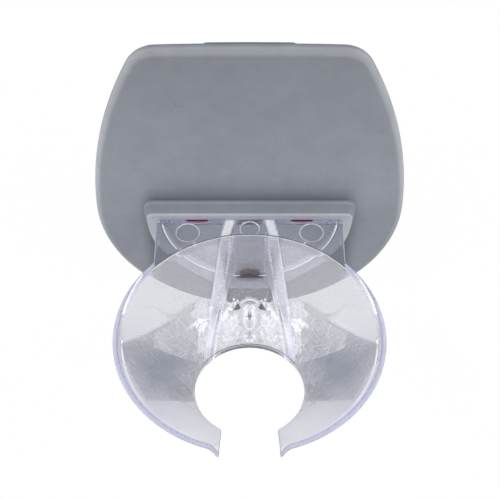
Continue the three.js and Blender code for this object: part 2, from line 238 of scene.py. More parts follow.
@dataclass(frozen=True)
class MouldedSilicone:
    """Silicone rubber from an eroded steel mould.

    The mould's fine texture scatters light, so the rubber reads as an even satin grey with soft, wide
    highlights. Filler gives it a faint cloudy mottle, and handling leaves specks of dust. Steps of tone
    along Y paint light on edges and shade beside them, and the shades paint darker tone where shade falls.
    """

    name: str
    colour: str
    painted_light_bands: tuple[tuple[float, str], ...] = ()
    shades: tuple[Shade, ...] = ()
    cloud_shade: str = "#f3f3f4"
    roughness: float = 0.52
    roughness_sway: float = 0.05
    ior: float = 1.41
    grain_mm: float = 0.55  # a real mould grain is about 0.1 mm, drawn coarser to show in the render
    grain_depth_mm: float = 0.02
    cloud_mm: float = 9.0
    dust_mm: float = 1.6
    dust_colour: str = "#a6aab2"

    def material(self) -> Material:
        """Builds the rubber's node material.

        Returns:
            The material.
        """
        material, tree = new_material(self.name)
        place = add_node(tree, "TexCoord").outputs["Object"]
        clouds, grain, dust = (
            add_node(tree, "TexNoise", {
                "Vector": place, "Scale": per_metre(size), "Detail": detail, "Roughness": roughness})
            for size, detail, roughness in (
                (self.cloud_mm, 4.0, 0.65), (self.grain_mm, 3.0, 0.6), (self.dust_mm, 2.0, 0.5)))
        cloud_share = add_node(tree, "MapRange", {"Value": clouds, "From Min": 0.35, "From Max": 0.68})
        dust_share = add_node(tree, "MapRange", {
            "Value": dust, "From Min": 0.72, "From Max": 0.8, "To Max": 0.35})
        body = add_node(
            tree, "Mix", {
                "Factor": cloud_share, "A": self.colour_with_painted_light(tree, place), "B": linear(self.cloud_shade)},
            data_type="RGBA", blend_type="MULTIPLY")
        colour = add_node(
            tree, "Mix", {"Factor": dust_share, "A": body, "B": linear(self.dust_colour)}, data_type="RGBA")
        for darker in self.shades:
            colour = darker.over(tree, place, colour)
        gloss = add_node(tree, "MapRange", {
            "Value": grain, "From Min": 0.3, "From Max": 0.7,
            "To Min": self.roughness - self.roughness_sway, "To Max": self.roughness + self.roughness_sway})
        relief = add_node(tree, "Bump", {
            "Height": grain, "Strength": 0.35, "Distance": self.grain_depth_mm * MM})
        shader = add_node(tree, "BsdfPrincipled", {
            "Base Color": colour, "Roughness": gloss, "IOR": self.ior, "Normal": relief})
        add_node(tree, "OutputMaterial", {"Surface": shader})
        return material

    def colour_with_painted_light(self, tree: Tree, place: Socket) -> Node | Colour:
        """The rubber's colour, with painted light and shade in steps of tone along the distance from the
        wall.

        Args:
            tree: Node tree of the material.
            place: Socket with the place on the surface.

        Returns:
            A node with the colour, or the plain colour.
        """
        if not self.painted_light_bands:
            return linear(self.colour)
        reach = self.painted_light_bands[-1][0]
        depth = add_node(tree, "SeparateXYZ", {"Vector": place}).outputs["Y"]
        share = add_node(tree, "MapRange", {"Value": depth, "From Max": reach * MM})
        ramp = add_node(tree, "ValToRGB", {"Fac": share})
        stops = ramp.color_ramp.elements
        stops[0].color, stops[-1].color = linear(self.colour), linear(self.painted_light_bands[-1][1])
        for y, colour in self.painted_light_bands[:-1]:
            stops.new(y / reach).color = linear(colour)
        return ramp


@dataclass(frozen=True)
class GateLightPatch:
    """A patch of painted light or of painted shade round the gate: an ellipse seen along Y, alike on both
    sides.

    Places and half sizes are in millimetres, the turn in degrees.
    """

    across: float
    height: float
    half_width: float
    half_height: float
    turn: float
    share: float


@dataclass(frozen=True)
class ClearPolystyrene:
    """Clear polystyrene, with a polished bowl and spark-eroded ribs and plug.

    The bowl is bright and hard edged, dulled by a little milkiness and by fine scratches that glasses
    leave. Ribs and plug carry the mould's grain, so they read as frosted strips, and milky strips of
    painted light make the wall pale before and beside a rib. Panels of painted shade turn the bowl's
    sides grey, and there the wall loses some gloss. Painted light stands for the light that runs along
    the walls: bright lines on the rim and cut edges, and the blue-violet of the toner that thin walls
    hide; painted shade draws dark lines along other edges. Patches of painted light and shade round the
    gate, with a little relief under the light ones, break up what is seen through the wall, and painted
    light brightens a few more zones of the bowl and a glint.
    """

    name: str
    toner_colour: str = "#7c90f3"
    toner_per_metre: float = 8.0
    clear_colour: str = "#f8f9ff"
    # painted light: the rim's blue-violet glow and its darker outline
    rim_colour: str = "#cccee0"
    outline_colour: str = "#a8aac8"
    shadow_colour: str = "#56565e"
    veil_share: float = 0.012
    scratch_share: float = 0.42
    # grey of the panels of painted shade, and how it fades in from their edges
    panel_colour: str = "#959aab"
    panel_edge: float = 0.55
    lighter_patch_clears: float = 0.5
    panel_fade_mm: float = 9.0
    zone_soft_mm: float = 0.1
    panel_roughness: float = 0.18
    # milky shares of painted light on rings, rib strips, rim and highlight lines; shadow_share is painted
    # shade
    ring_share: float = 0.42
    rib_share: float = 0.2
    side_share: float = 0.14
    rim_share: float = 0.62
    line_share: float = 0.9
    shadow_share: float = 0.75
    line_half_mm: float = 0.26
    outline_mm: float = 0.3
    roughness: float = 0.02
    dulled_roughness: float = 0.34
    frosted_roughness: float = 0.3
    ior: float = 1.59
    scratch_mm: float = 0.8  # scratches are about 0.05 mm wide, drawn coarser to show in the render
    scratch_length_mm: float = 11.0
    scratch_turns: tuple[float, ...] = (0.5, 1.3, 2.5)
    scratch_line: float = 0.045
    flow_mm: float = 1.4
    flow_sway_mm: float = 4.2
    flow_depth_mm: float = 0.25
    grain_mm: float = 0.75  # the eroded grain is about 0.1 mm, drawn coarser to show in the render
    grain_depth_mm: float = 0.05
    # patches of painted light round the gate, and below them patches of painted shade
    bright_marks: tuple[GateLightPatch, ...] = (
        GateLightPatch(0.0, -30.6, 14.5, 9.4, 0.0, 0.36),
        GateLightPatch(7.2, -27.3, 3.4, 2.4, -35.0, 0.7),
        GateLightPatch(9.0, -31.6, 3.6, 0.9, 17.0, 0.6),
        GateLightPatch(4.6, -30.6, 0.9, 1.8, 30.0, 0.65),
        GateLightPatch(8.2, -22.6, 3.6, 0.7, -53.0, 0.95),
        GateLightPatch(9.6, -24.4, 1.8, 1.0, -45.0, 0.9),
        GateLightPatch(5.6, -21.2, 1.5, 0.35, -25.0, 0.9),
        GateLightPatch(1.7, -25.0, 0.8, 3.0, 5.0, 1.0),
        GateLightPatch(1.0, -23.2, 1.2, 0.9, 0.0, 0.9),
        GateLightPatch(1.45, -32.1, 1.75, 0.5, 48.0, 0.95),
        GateLightPatch(1.5, -32.6, 1.4, 0.45, -50.0, 0.95),
        GateLightPatch(11.8, -30.1, 2.2, 0.35, 17.0, 0.8),
        GateLightPatch(19.4, -22.8, 4.5, 0.75, 14.0, 1.0),
        GateLightPatch(18.4, -20.2, 4.4, 2.2, 20.0, 0.28),
        GateLightPatch(18.6, -27.4, 1.6, 3.8, 5.0, 0.45),
        GateLightPatch(18.3, -25.2, 1.7, 1.3, 0.0, 0.95),
    )
    dark_marks: tuple[GateLightPatch, ...] = (
        GateLightPatch(5.1, -22.7, 1.9, 0.75, -12.0, 0.95),
        GateLightPatch(9.9, -21.9, 0.8, 1.7, 20.0, 0.5),
        GateLightPatch(21.2, -17.6, 2.8, 0.45, -19.0, 0.5),
        GateLightPatch(0.0, -21.6, 3.0, 0.55, 0.0, 0.55),
        GateLightPatch(0.3, -25.5, 0.25, 1.4, 20.0, 0.9),
        GateLightPatch(0.2, -31.1, 0.8, 0.8, 0.0, 0.5),
        GateLightPatch(3.9, -33.4, 0.9, 0.8, 0.0, 0.4),
        GateLightPatch(0.0, -27.9, 1.2, 1.0, 0.0, 0.3),
        GateLightPatch(12.0, -29.1, 1.6, 0.22, 18.0, 0.5),
        GateLightPatch(10.4, -31.1, 2.9, 0.22, 17.0, 0.45),
        GateLightPatch(3.6, -27.0, 0.3, 2.2, 0.0, 0.35),
        GateLightPatch(7.3, -23.8, 1.6, 0.25, -55.0, 0.4),
    )

    def material(self) -> Material:
        """Builds the clear plastic's node material, with its toner as an absorbing volume.

        Returns:
            The material.
        """
        material, tree = new_material(self.name)
        place = add_node(tree, "TexCoord").outputs["Object"]
        zone = {z: add_node(tree, "Attribute", attribute_name=z.value).outputs["Fac"] for z in Zone}
        scratches = self.scratches(tree, place)
        bright, shaded, sway = self.painted_light_round_gate(tree, place)
        grain = add_node(tree, "TexNoise", {
            "Vector": place, "Scale": per_metre(self.grain_mm), "Detail": 2.0, "Roughness": 0.6})
        speckle = add_node(tree, "MapRange", {
            "Value": grain, "From Min": 0.45, "From Max": 0.64, "To Min": 0.0, "To Max": 4.0})
        in_rib, in_side, in_rim, in_rim_face, in_panel, in_lighter_patch = (
            add_node(tree, "MapRange", {
                "Value": zone[depth], "From Min": start - self.zone_soft_mm,
                "From Max": start + self.zone_soft_mm})
            for depth, start in (
                (Zone.RIB, 0.0), (Zone.SIDE, 0.0), (Zone.RIM, 0.0), (Zone.RIM, self.outline_mm),
                (Zone.PANEL, 0.0), (Zone.LIGHTER_PATCH, 0.0)))
        on_line, on_ring, on_dark = (
            self.line(tree, zone[offset]) for offset in (Zone.LINE, Zone.RING, Zone.DARK))
        uneven = add_node(tree, "MapRange", {
            "Value": sway, "From Min": 0.36, "From Max": 0.6, "To Min": 0.55, "To Max": 1.15})
        unclear = add_node(tree, "MapRange", {
            "Value": in_lighter_patch, "To Min": 1.0, "To Max": 1 - self.lighter_patch_clears})
        inwards = add_node(tree, "MapRange", {
            "Value": zone[Zone.PANEL], "From Max": self.panel_fade_mm, "To Min": self.panel_edge})
        off_panel = add_node(tree, "Math", {0: 1.0, 1: in_panel}, operation="SUBTRACT")
        # gathered and blocked are the painted light and shade round the gate
        gathered, blocked, dots, rubs, painted_light_and_haze, greyed, pits = (
            self.combined(tree, "MULTIPLY", shares) for shares in (
                (bright, uneven, zone[Zone.FLOW]), (shaded, zone[Zone.FLOW]), (speckle, zone[Zone.VEIL]),
                (scratches, in_panel), (zone[Zone.HAZE], off_panel), (in_panel, unclear, inwards),
                (grain, zone[Zone.FROST])))
        # painted shade: dark patches round the gate and dark lines along edges
        shadow = self.combined(tree, "MAXIMUM", (blocked, on_dark))
        # painted light as milky white where the zones call for it, over a little speckle
        milky: Signal = self.veil_share
        for share, weight in (
                (rubs, self.scratch_share), (gathered, 1.0), (shadow, self.shadow_share), (dots, 1.0),
                (painted_light_and_haze, 1.0), (in_rib, self.rib_share), (in_side, self.side_share), (in_rim, self.rim_share),
                (on_line, self.line_share), (on_ring, self.ring_share)):
            milky = add_node(tree, "Math", {0: share, 1: weight, 2: milky}, operation="MULTIPLY_ADD")
        clear = add_node(tree, "Math", {0: 1.0, 1: milky}, operation="SUBTRACT", use_clamp=True)
        gloss: Signal = self.roughness
        for share, roughness in (
                (in_panel, self.panel_roughness), (zone[Zone.DULL], self.dulled_roughness),
                (zone[Zone.FROST], self.frosted_roughness)):
            gloss = add_node(tree, "MapRange", {"Value": share, "To Min": gloss, "To Max": roughness})
        # the panels' grey is painted shade, the rim's tints are painted light, the shadow colour is painted
        # shade
        colour: Colour | Node = linear(self.clear_colour)
        for share, tint in (
                (greyed, self.panel_colour), (in_rim, self.outline_colour),
                (in_rim_face, self.rim_colour), (shadow, self.shadow_colour)):
            colour = add_node(
                tree, "Mix", {"Factor": share, "A": colour, "B": linear(tint)}, data_type="RGBA")
        eroded = add_node(tree, "Bump", {
            "Height": pits, "Strength": 0.5, "Distance": self.grain_depth_mm * MM})
        relief = add_node(tree, "Bump", {
            "Height": self.combined(tree, "MULTIPLY", (sway, gathered)), "Strength": 0.8,
            "Distance": self.flow_depth_mm * MM, "Normal": eroded})
        shader = add_node(tree, "BsdfPrincipled", {
            "Base Color": colour, "Roughness": gloss, "IOR": self.ior, "Transmission Weight": clear,
            "Normal": relief})
        toner = add_node(tree, "VolumeAbsorption", {
            "Color": linear(self.toner_colour), "Density": self.toner_per_metre})
        add_node(tree, "OutputMaterial", {"Surface": shader, "Volume": toner})
        return material

    def combined(self, tree: Tree, operation: str, shares: Sequence[Signal]) -> Signal:
        """Runs some shares through one operation, the second with the first, the third with their result.

        Args:
            tree: Node tree of the material.
            operation: Operation of a Math node with two inputs.
            shares: The shares.

        Returns:
            The last result.
        """
        result, *others = shares
        for share in others:
            result = add_node(tree, "Math", {0: result, 1: share}, operation=operation)
        return result

    def line(self, tree: Tree, offset: Socket) -> Node:
        """A thin line where an offset in millimetres passes zero."""
        away = add_node(tree, "Math", {0: offset}, operation="ABSOLUTE")
        return add_node(tree, "MapRange", {
            "Value": away, "From Min": self.line_half_mm, "From Max": self.line_half_mm / 2})

    def scratches(self, tree: Tree, place: Socket) -> Signal:
        """Fine crossing scratches: thin lines where stretched noise passes its middle value.

        Args:
            tree: Node tree of the material.
            place: Socket with the place on the surface.

        Returns:
            Node with 1 on a scratch and 0 off it.
        """
        stretch = self.scratch_length_mm / self.scratch_mm
        plan = add_node(tree, "VectorMath", {0: place, 1: (1.0, 1.0, 0.0)}, operation="MULTIPLY")
        lines = []
        for turn in self.scratch_turns:
            turned = add_node(tree, "Mapping", {
                "Vector": plan, "Rotation": (0.0, 0.0, turn),
                "Scale": (1.0, stretch, 1.0)}, vector_type="TEXTURE")
            noise = add_node(tree, "TexNoise", {
                "Vector": turned, "Scale": per_metre(self.scratch_mm), "Detail": 1.0})
            off = add_node(tree, "Math", {0: noise, 1: HALF}, operation="SUBTRACT")
            away = add_node(tree, "Math", {0: off}, operation="ABSOLUTE")
            lines.append(add_node(tree, "MapRange", {
                "Value": away, "From Max": self.scratch_line, "To Min": 1.0, "To Max": 0.0}))
        return self.combined(tree, "MAXIMUM", lines)

    def painted_light_round_gate(self, tree: Tree, place: Socket) -> tuple[Signal, Signal, Socket]:
        """Painted light and painted shade round the gate, the same on both sides of it, with noise for a
        little relief.

        Args:
            tree: Node tree of the material.
            place: Socket with the place on the surface.

        Returns:
            The share of bright marks, of dark marks, and the noise that makes their edges sway.
        """
        axes = add_node(tree, "SeparateXYZ", {"Vector": place}).outputs
        aside = add_node(tree, "Math", {0: axes["X"]}, operation="ABSOLUTE")
        flat = add_node(tree, "CombineXYZ", {"X": aside, "Y": axes["Z"]})
        noise = add_node(tree, "TexNoise", {
            "Vector": flat, "Scale": per_metre(self.flow_mm), "Detail": 2.0}).outputs
        sway = self.flow_sway_mm * MM
        swayed = add_node(
            tree, "VectorMath", {0: noise["Color"], 1: (sway, sway, 0.0), 2: flat}, operation="MULTIPLY_ADD")
        shares = []
        for marks in (self.bright_marks, self.dark_marks):
            total: Signal = 0.0
            for mark in marks:
                local = add_node(tree, "Mapping", {
                    "Vector": swayed, "Rotation": (0.0, 0.0, math.radians(mark.turn)),
                    "Location": (mark.across * MM + sway / 2, mark.height * MM + sway / 2, 0.0),
                    "Scale": (mark.half_width * MM, mark.half_height * MM, 1.0)}, vector_type="TEXTURE")
                away = add_node(tree, "VectorMath", {0: local}, operation="LENGTH")
                share = add_node(tree, "MapRange", {
                    "Value": away, "From Min": 1.15, "From Max": 0.8, "To Max": mark.share},
                    interpolation_type="SMOOTHSTEP")
                total = add_node(tree, "Math", {0: share, 1: total}, operation="MAXIMUM")
            shares.append(total)
        return shares[0], shares[1], noise["Fac"]


@dataclass(frozen=True)
class MouldedPlastic:
    """Opaque polypropylene from a plain mould.

    A waxy half gloss with a fine sparkle from the mould, and a slightly uneven depth of colour.
    """

    name: str
    colour: str
    cloud_colour: str
    roughness: float = 0.38
    roughness_sway: float = 0.06
    ior: float = 1.49
    cloud_mm: float = 3.0
    grain_mm: float = 0.5  # a plain mould's grain is about 0.05 mm, drawn coarser to show in the render
    grain_depth_mm: float = 0.01

    def material(self) -> Material:
        """Builds the plastic's node material.

        Returns:
            The material.
        """
        material, tree = new_material(self.name)
        place = add_node(tree, "TexCoord").outputs["Object"]
        clouds = add_node(tree, "TexNoise", {"Vector": place, "Scale": per_metre(self.cloud_mm)})
        grain = add_node(tree, "TexNoise", {
            "Vector": place, "Scale": per_metre(self.grain_mm), "Detail": 3.0})
        body = add_node(
            tree, "Mix", {"Factor": clouds, "A": linear(self.colour), "B": linear(self.cloud_colour)},
            data_type="RGBA")
        gloss = add_node(tree, "MapRange", {
            "Value": grain, "To Min": self.roughness - self.roughness_sway,
            "To Max": self.roughness + self.roughness_sway})
        relief = add_node(tree, "Bump", {
            "Height": grain, "Strength": 0.3, "Distance": self.grain_depth_mm * MM})
        shader = add_node(tree, "BsdfPrincipled", {
            "Base Color": body, "Roughness": gloss, "IOR": self.ior, "Normal": relief})
        add_node(tree, "OutputMaterial", {"Surface": shader})
        return material


# Outlines and skins


def arc(centre: Sequence[float], radius: float, start: float, end: float, steps: int) -> Array:
    """Points of an arc in the plane of an outline, both ends included.

    Args:
        centre: Centre of the arc.
        radius: Its radius.
        start: First angle in radians.
        end: Last angle in radians.
        steps: Number of segments.

    Returns:
        Points as rows.
    """
    angles = np.linspace(start, end, steps + 1)
    return np.column_stack([centre[0] + radius * np.cos(angles), centre[1] + radius * np.sin(angles)])


def finely_divided(outline: Array, step: float) -> Array:
    """Adds points along the long segments of a closed outline.

    Args:
        outline: Corner points as rows.
        step: Longest segment that stays undivided.

    Returns:
        The outline with more points.
    """
    rows = []
    for first, second in zip(outline, np.roll(outline, -1, axis=0)):
        count = max(1, math.ceil(float(np.hypot(*(second - first))) / step))
        shares = np.arange(count)[:, None] / count
        rows.append(first + (second - first) * shares)
    return np.vstack(rows)


def seen_from(outline: Array, pole: Sequence[float], angles: Array) -> Array:
    """Points of a closed outline in given directions from a pole inside it.

    Args:
        outline: Corner points as rows, anticlockwise.
        pole: Point that sees the whole outline.
        angles: Rising directions in radians.

    Returns:
        One point on the outline for each direction.
    """
    fine = finely_divided(outline, OUTLINE_STEP)
    bearing = np.arctan2(fine[:, 1] - pole[1], fine[:, 0] - pole[0])
    order = np.argsort(bearing, kind="stable")
    bearing, fine = bearing[order], fine[order]
    return np.column_stack([np.interp(angles, bearing, fine[:, i], period=2 * math.pi) for i in (0, 1)])


def skin(rings: Sequence[Array]) -> tuple[Array, list[list[int]]]:
    """A closed skin over rings of equal length, with its first and last ring closed by a face.

    Args:
        rings: Point rows of each ring, in order along the skin.

    Returns:
        All points, and the faces as lists of point numbers.
    """
    count = len(rings[0])
    faces = []
    for ring in range(len(rings) - 1):
        base = ring * count
        for i in range(count):
            j = (i + 1) % count
            faces.append([base + i, base + j, base + count + j, base + count + i])
    last = (len(rings) - 1) * count
    faces.append(list(range(count - 1, -1, -1)))
    faces.append(list(range(last, last + count)))
    return np.vstack(rings), faces


def at_depth(outline: Array, y: float) -> Array:
    """Lifts an outline in (x, z) to points at one y."""
    return np.column_stack([outline[:, 0], np.full(len(outline), y), outline[:, 1]])


def eased(share: Array) -> Array:
    """Eases a share that runs from 0 to 1, so that it starts and ends smoothly."""
    return share * share * (3 - 2 * share)


def quarter_round(radius: float, steps: int) -> list[tuple[float, float]]:
    """Steps of a rounded edge: how far it is drawn in, and how far it still has to rise.

    Args:
        radius: Radius of the round.
        steps: Number of segments.

    Returns:
        Pairs from the start of the round to its end.
    """
    turns = [math.pi / 2 * i / steps for i in range(steps + 1)]
    return [(radius * (1 - math.cos(t)), radius * (1 - math.sin(t))) for t in turns]


def mesh_piece(
    name: str,
    points: Array,
    faces: Sequence[Sequence[int]] | Array,
    shading: Shading,
    normals: Array | None = None,
) -> Piece:
    """Makes a mesh object from points in millimetres.

    Args:
        name: Object name.
        points: Points as rows.
        faces: Point numbers of each face.
        shading: Smooth or creased shading.
        normals: Point normals, where the shape knows them exactly.

    Returns:
        The object, linked to the scene.
    """
    mesh = bpy.data.meshes.new(name)
    mesh.from_pydata((points * MM).tolist(), [], np.asarray(faces, dtype=object).tolist())
    mesh.validate()
    if normals is None:
        shape = bmesh.new()
        shape.from_mesh(mesh)
        bmesh.ops.recalc_face_normals(shape, faces=shape.faces[:])
        shape.to_mesh(mesh)
        shape.free()
    piece = bpy.data.objects.new(name, mesh)
    bpy.context.scene.collection.objects.link(piece)
    shade(piece, shading)
    if normals is not None:
        mesh.normals_split_custom_set_from_vertices(normals.tolist())
    return piece


def shade(piece: Piece, shading: Shading) -> None:
    """Sets how a mesh is shaded.

    Args:
        piece: Mesh object.
        shading: Smooth or creased shading.
    """
    piece.data.polygons.foreach_set("use_smooth", np.ones(len(piece.data.polygons), dtype=bool))
    if shading is Shading.CREASED:
        piece.data.set_sharp_from_angle(angle=math.radians(shading.value))


def cut_away(piece: Piece, cutters: Sequence[Piece]) -> None:
    """Cuts bodies out of a piece, applies the cuts and removes the cutters.

    Args:
        piece: Mesh object that is cut.
        cutters: Closed mesh objects.
    """
    for cutter in cutters:
        cut = piece.modifiers.new("cut", "BOOLEAN")
        cut.operation = "DIFFERENCE"
        cut.solver = "EXACT"
        cut.object = cutter
    evaluated = piece.evaluated_get(bpy.context.evaluated_depsgraph_get())
    result = bpy.data.meshes.new_from_object(evaluated)
    piece.modifiers.clear()
    piece.data = result
    for cutter in cutters:
        bpy.data.objects.remove(cutter)
    shade(piece, Shading.CREASED)


def dress(piece: Piece, material: Material, body: Body, replaced: str) -> Piece:
    """Gives a piece its finish, and its place in the frame.

    Args:
        piece: Mesh object in its place.
        material: Its finish.
        body: CAD body it rides on.
        replaced: CAD node it stands for.

    Returns:
        The same object.
    """
    piece.data.materials.clear()
    piece.data.materials.append(material)
    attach(piece, body.value)
    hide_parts(replaced)
    log.info("%s: %d faces, rides on %s", piece.name, len(piece.data.polygons), body.value)
    return piece


# Bodies as signed distances


def filleted(first: Array, second: Array, radius: float) -> Array:
    """Signed distance of two bodies joined with a fillet.

    Args:
        first: Distances to one body.
        second: Distances to the other.
        radius: Fillet radius.

    Returns:
        Distances to the joined body.
    """
    dip = np.hypot(np.maximum(radius - first, 0), np.maximum(radius - second, 0))
    return np.maximum(radius, np.minimum(first, second)) - dip


def rounded_off(sides: Sequence[Array], radius: float) -> Array:
    """Signed distance of the body that lies behind all of several sides, with its edges rounded.

    Args:
        sides: Distances to each side, negative behind it.
        radius: Radius of the edges.

    Returns:
        Distances to the body.
    """
    rise = np.sqrt(sum(np.maximum(side + radius, 0) ** 2 for side in sides))
    return np.minimum(-radius, np.maximum.reduce(list(sides))) + rise


def depth_inside(corners: Sequence[tuple[float, float]], x: Array, y: Array) -> Array:
    """Depth of points inside a convex outline.

    Args:
        corners: Corners of the outline, clockwise.
        x: First coordinates of the points.
        y: Second coordinates of the points.

    Returns:
        Depth of each point, negative outside.
    """
    depth = np.full(len(x), np.inf)
    for (ax, ay), (bx, by) in zip(corners, (*corners[1:], corners[0])):
        length = math.hypot(bx - ax, by - ay)
        depth = np.minimum(depth, ((x - ax) * (by - ay) - (y - ay) * (bx - ax)) / length)
    return depth


def nearest_line(lines: Sequence[tuple[Array, Array]], count: int) -> Array:
    """Offsets from the nearest of some lines on a surface.

    Args:
        lines: Pairs of where a line is drawn and of the offsets from it.
        count: Number of points.

    Returns:
        Signed offset of each point, large where no line is drawn.
    """
    nearest = np.full(count, FAR)
    for drawn, offset in lines:
        nearest = np.where(drawn & (np.abs(offset) < np.abs(nearest)), offset, nearest)
    return nearest


def slope_of(shape: Field, points: Array, reach: float = 0.03) -> Array:
    """Gradient of a distance field.

    Args:
        shape: Distance field.
        points: Points as rows.
        reach: Half the span of the difference, in millimetres.

    Returns:
        One gradient for each point.
    """
    steps = np.eye(3) * reach
    return np.column_stack([(shape(points + s) - shape(points - s)) / (2 * reach) for s in steps])


def normals_of(shape: Field, points: Array) -> Array:
    """Unit normals of a distance field at some points."""
    slope = slope_of(shape, points)
    return slope / np.maximum(np.linalg.norm(slope, axis=1, keepdims=True), TINY)


def shortened(moves: Array, step: float) -> Array:
    """Shortens the moves that are longer than a step."""
    length = np.maximum(np.linalg.norm(moves, axis=1, keepdims=True), TINY)
    return moves * np.minimum(1, step / length)


def settled(shape: Field, points: Array, step: float, rounds: int = 5, least: float = 0.05) -> Array:
    """Moves points onto the surface of a distance field.

    Args:
        shape: Distance field.
        points: Points near its surface.
        step: Longest move in one round.
        rounds: Number of moves.
        least: Least squared slope that a move counts with, where the field is nearly level.

    Returns:
        The moved points.
    """
    for _ in range(rounds):
        slope = slope_of(shape, points)
        steep = np.maximum(np.sum(slope ** 2, axis=1), least)
        points = points + shortened(-slope * (shape(points) / steep)[:, None], step)
    return points


def neighbour_mean(values: Array, faces: Array) -> Array:
    """Mean of some point values over the corners of all faces round each point.

    Args:
        values: One row for each point.
        faces: Rows of point numbers.

    Returns:
        The means, as rows.
    """
    total = np.column_stack([
        sum(np.bincount(corner, column, len(values)) for corner in faces.T)
        for column in values[faces].sum(axis=1).T])
    count = sum(np.bincount(corner, minlength=len(values)) for corner in faces.T) * faces.shape[1]
    return total / count[:, None]


def evened(shape: Field, points: Array, faces: Array, step: float, hold: float = 0.08) -> Array:
    """Moves a net's points to where the planes of their neighbours meet, so that its edges run evenly.

    Args:
        shape: Distance field.
        points: Points on its surface.
        faces: Rows of four point numbers.
        step: Longest move.
        hold: Pull to the middle of the neighbours, beside the pull of their planes.

    Returns:
        The moved points.
    """
    normals = normals_of(shape, points)
    planes = (normals[:, :, None] * normals[:, None, :]).reshape(len(points), -1)
    heights = neighbour_mean(normals * np.sum(normals * points, axis=1, keepdims=True), faces)
    pulls = neighbour_mean(planes, faces).reshape(-1, 3, 3) + hold * np.eye(3)
    aims = np.linalg.solve(pulls, (heights + hold * neighbour_mean(points, faces))[:, :, None])
    return points + shortened(aims[:, :, 0] - points, step)


def surface_net(
    shape: Field, low: Sequence[float], high: Sequence[float], step: float
) -> tuple[Array, Array]:
    """Four-sided faces over the surface of a distance field.

    Args:
        shape: Distance field, negative inside.
        low: Lowest corner of the box that holds the body.
        high: Its highest corner.
        step: Width of a cell.

    Returns:
        Points, and faces as rows of four point numbers.
    """
    axes = [np.arange(a, b + step, step) for a, b in zip(low, high)]
    plane = np.stack(np.meshgrid(axes[1], axes[2], indexing="ij"), axis=-1).reshape(-1, 2)
    values = np.stack([
        shape(np.column_stack([np.full(len(plane), x), plane])).reshape(len(axes[1]), len(axes[2]))
        for x in axes[0]])
    inside = values < 0
    corners = [np.array([a, b, c]) for a in (0, 1) for b in (0, 1) for c in (0, 1)]
    cells_shape = np.array(values.shape) - 1
    filled = sum(
        inside[tuple(slice(o, o + n) for o, n in zip(corner, cells_shape))].astype(np.int8)
        for corner in corners)
    crossed = (filled > 0) & (filled < len(corners))
    number = np.full(crossed.shape, -1)
    number[crossed] = np.arange(np.count_nonzero(crossed))
    cells = np.argwhere(crossed)
    total = np.zeros((len(cells), 3))
    hits = np.zeros((len(cells), 1))
    edges = [(a, b) for a in corners for b in corners if np.sum(b - a) == 1 and np.all(b >= a)]
    for a, b in edges:
        value_a = values[tuple((cells + a).T)]
        value_b = values[tuple((cells + b).T)]
        hit = (value_a < 0) != (value_b < 0)
        share = np.where(hit, value_a / np.where(hit, value_a - value_b, 1), 0)
        total += np.where(hit[:, None], a + (b - a) * share[:, None], 0)
        hits += hit[:, None]
    points = np.array(low) + step * (cells + total / hits)
    return points, np.vstack([_net_faces(inside, number, axis) for axis in range(3)])


def _net_faces(inside: Array, number: Array, axis: int) -> Array:
    """Faces of a surface net that cross the grid lines along one axis.

    Args:
        inside: Which grid points lie inside the body.
        number: Point number of each cell, or -1.
        axis: Axis of the grid lines.

    Returns:
        Faces as rows of four point numbers, turned outwards.
    """
    across, along = (axis + 1) % 3, (axis + 2) % 3
    last = inside.shape[axis] - 1
    start = np.take(inside, range(last), axis)
    end = np.take(inside, range(1, last + 1), axis)
    lines = np.argwhere(start != end)
    leaving = start[tuple(lines.T)]
    corners = []
    for shift_across, shift_along in ((-1, -1), (0, -1), (0, 0), (-1, 0)):
        cell = lines.copy()
        cell[:, across] += shift_across
        cell[:, along] += shift_along
        corners.append(number[tuple(cell.T)])
    faces = np.column_stack(corners)
    faces[~leaving] = faces[~leaving][:, ::-1]
    return faces


# The object


@dataclass(frozen=True)
class Layers:
    """Planes along Y from the wall outwards, and the plug's radius and clearance, which pieces share."""

    sheet: float = 1.0
    core: float = 2.0
    pad: float = 5.0
    socket: float = 6.4
    plug_proud: float = 0.5
    plug_radius: float = 34.5
    clearance: float = 0.3

    @property
    def sheet_front(self) -> float:
        """Plane where the sheet meets pad and core."""
        return -self.sheet

    @property
    def core_front(self) -> float:
        """Front plane of the core plate."""
        return -self.sheet - self.core

    @property
    def pad_front(self) -> float:
        """Front face of the pad."""
        return -self.pad

    @property
    def socket_front(self) -> float:
        """Front face of the socket's collar."""
        return -self.pad - self.socket


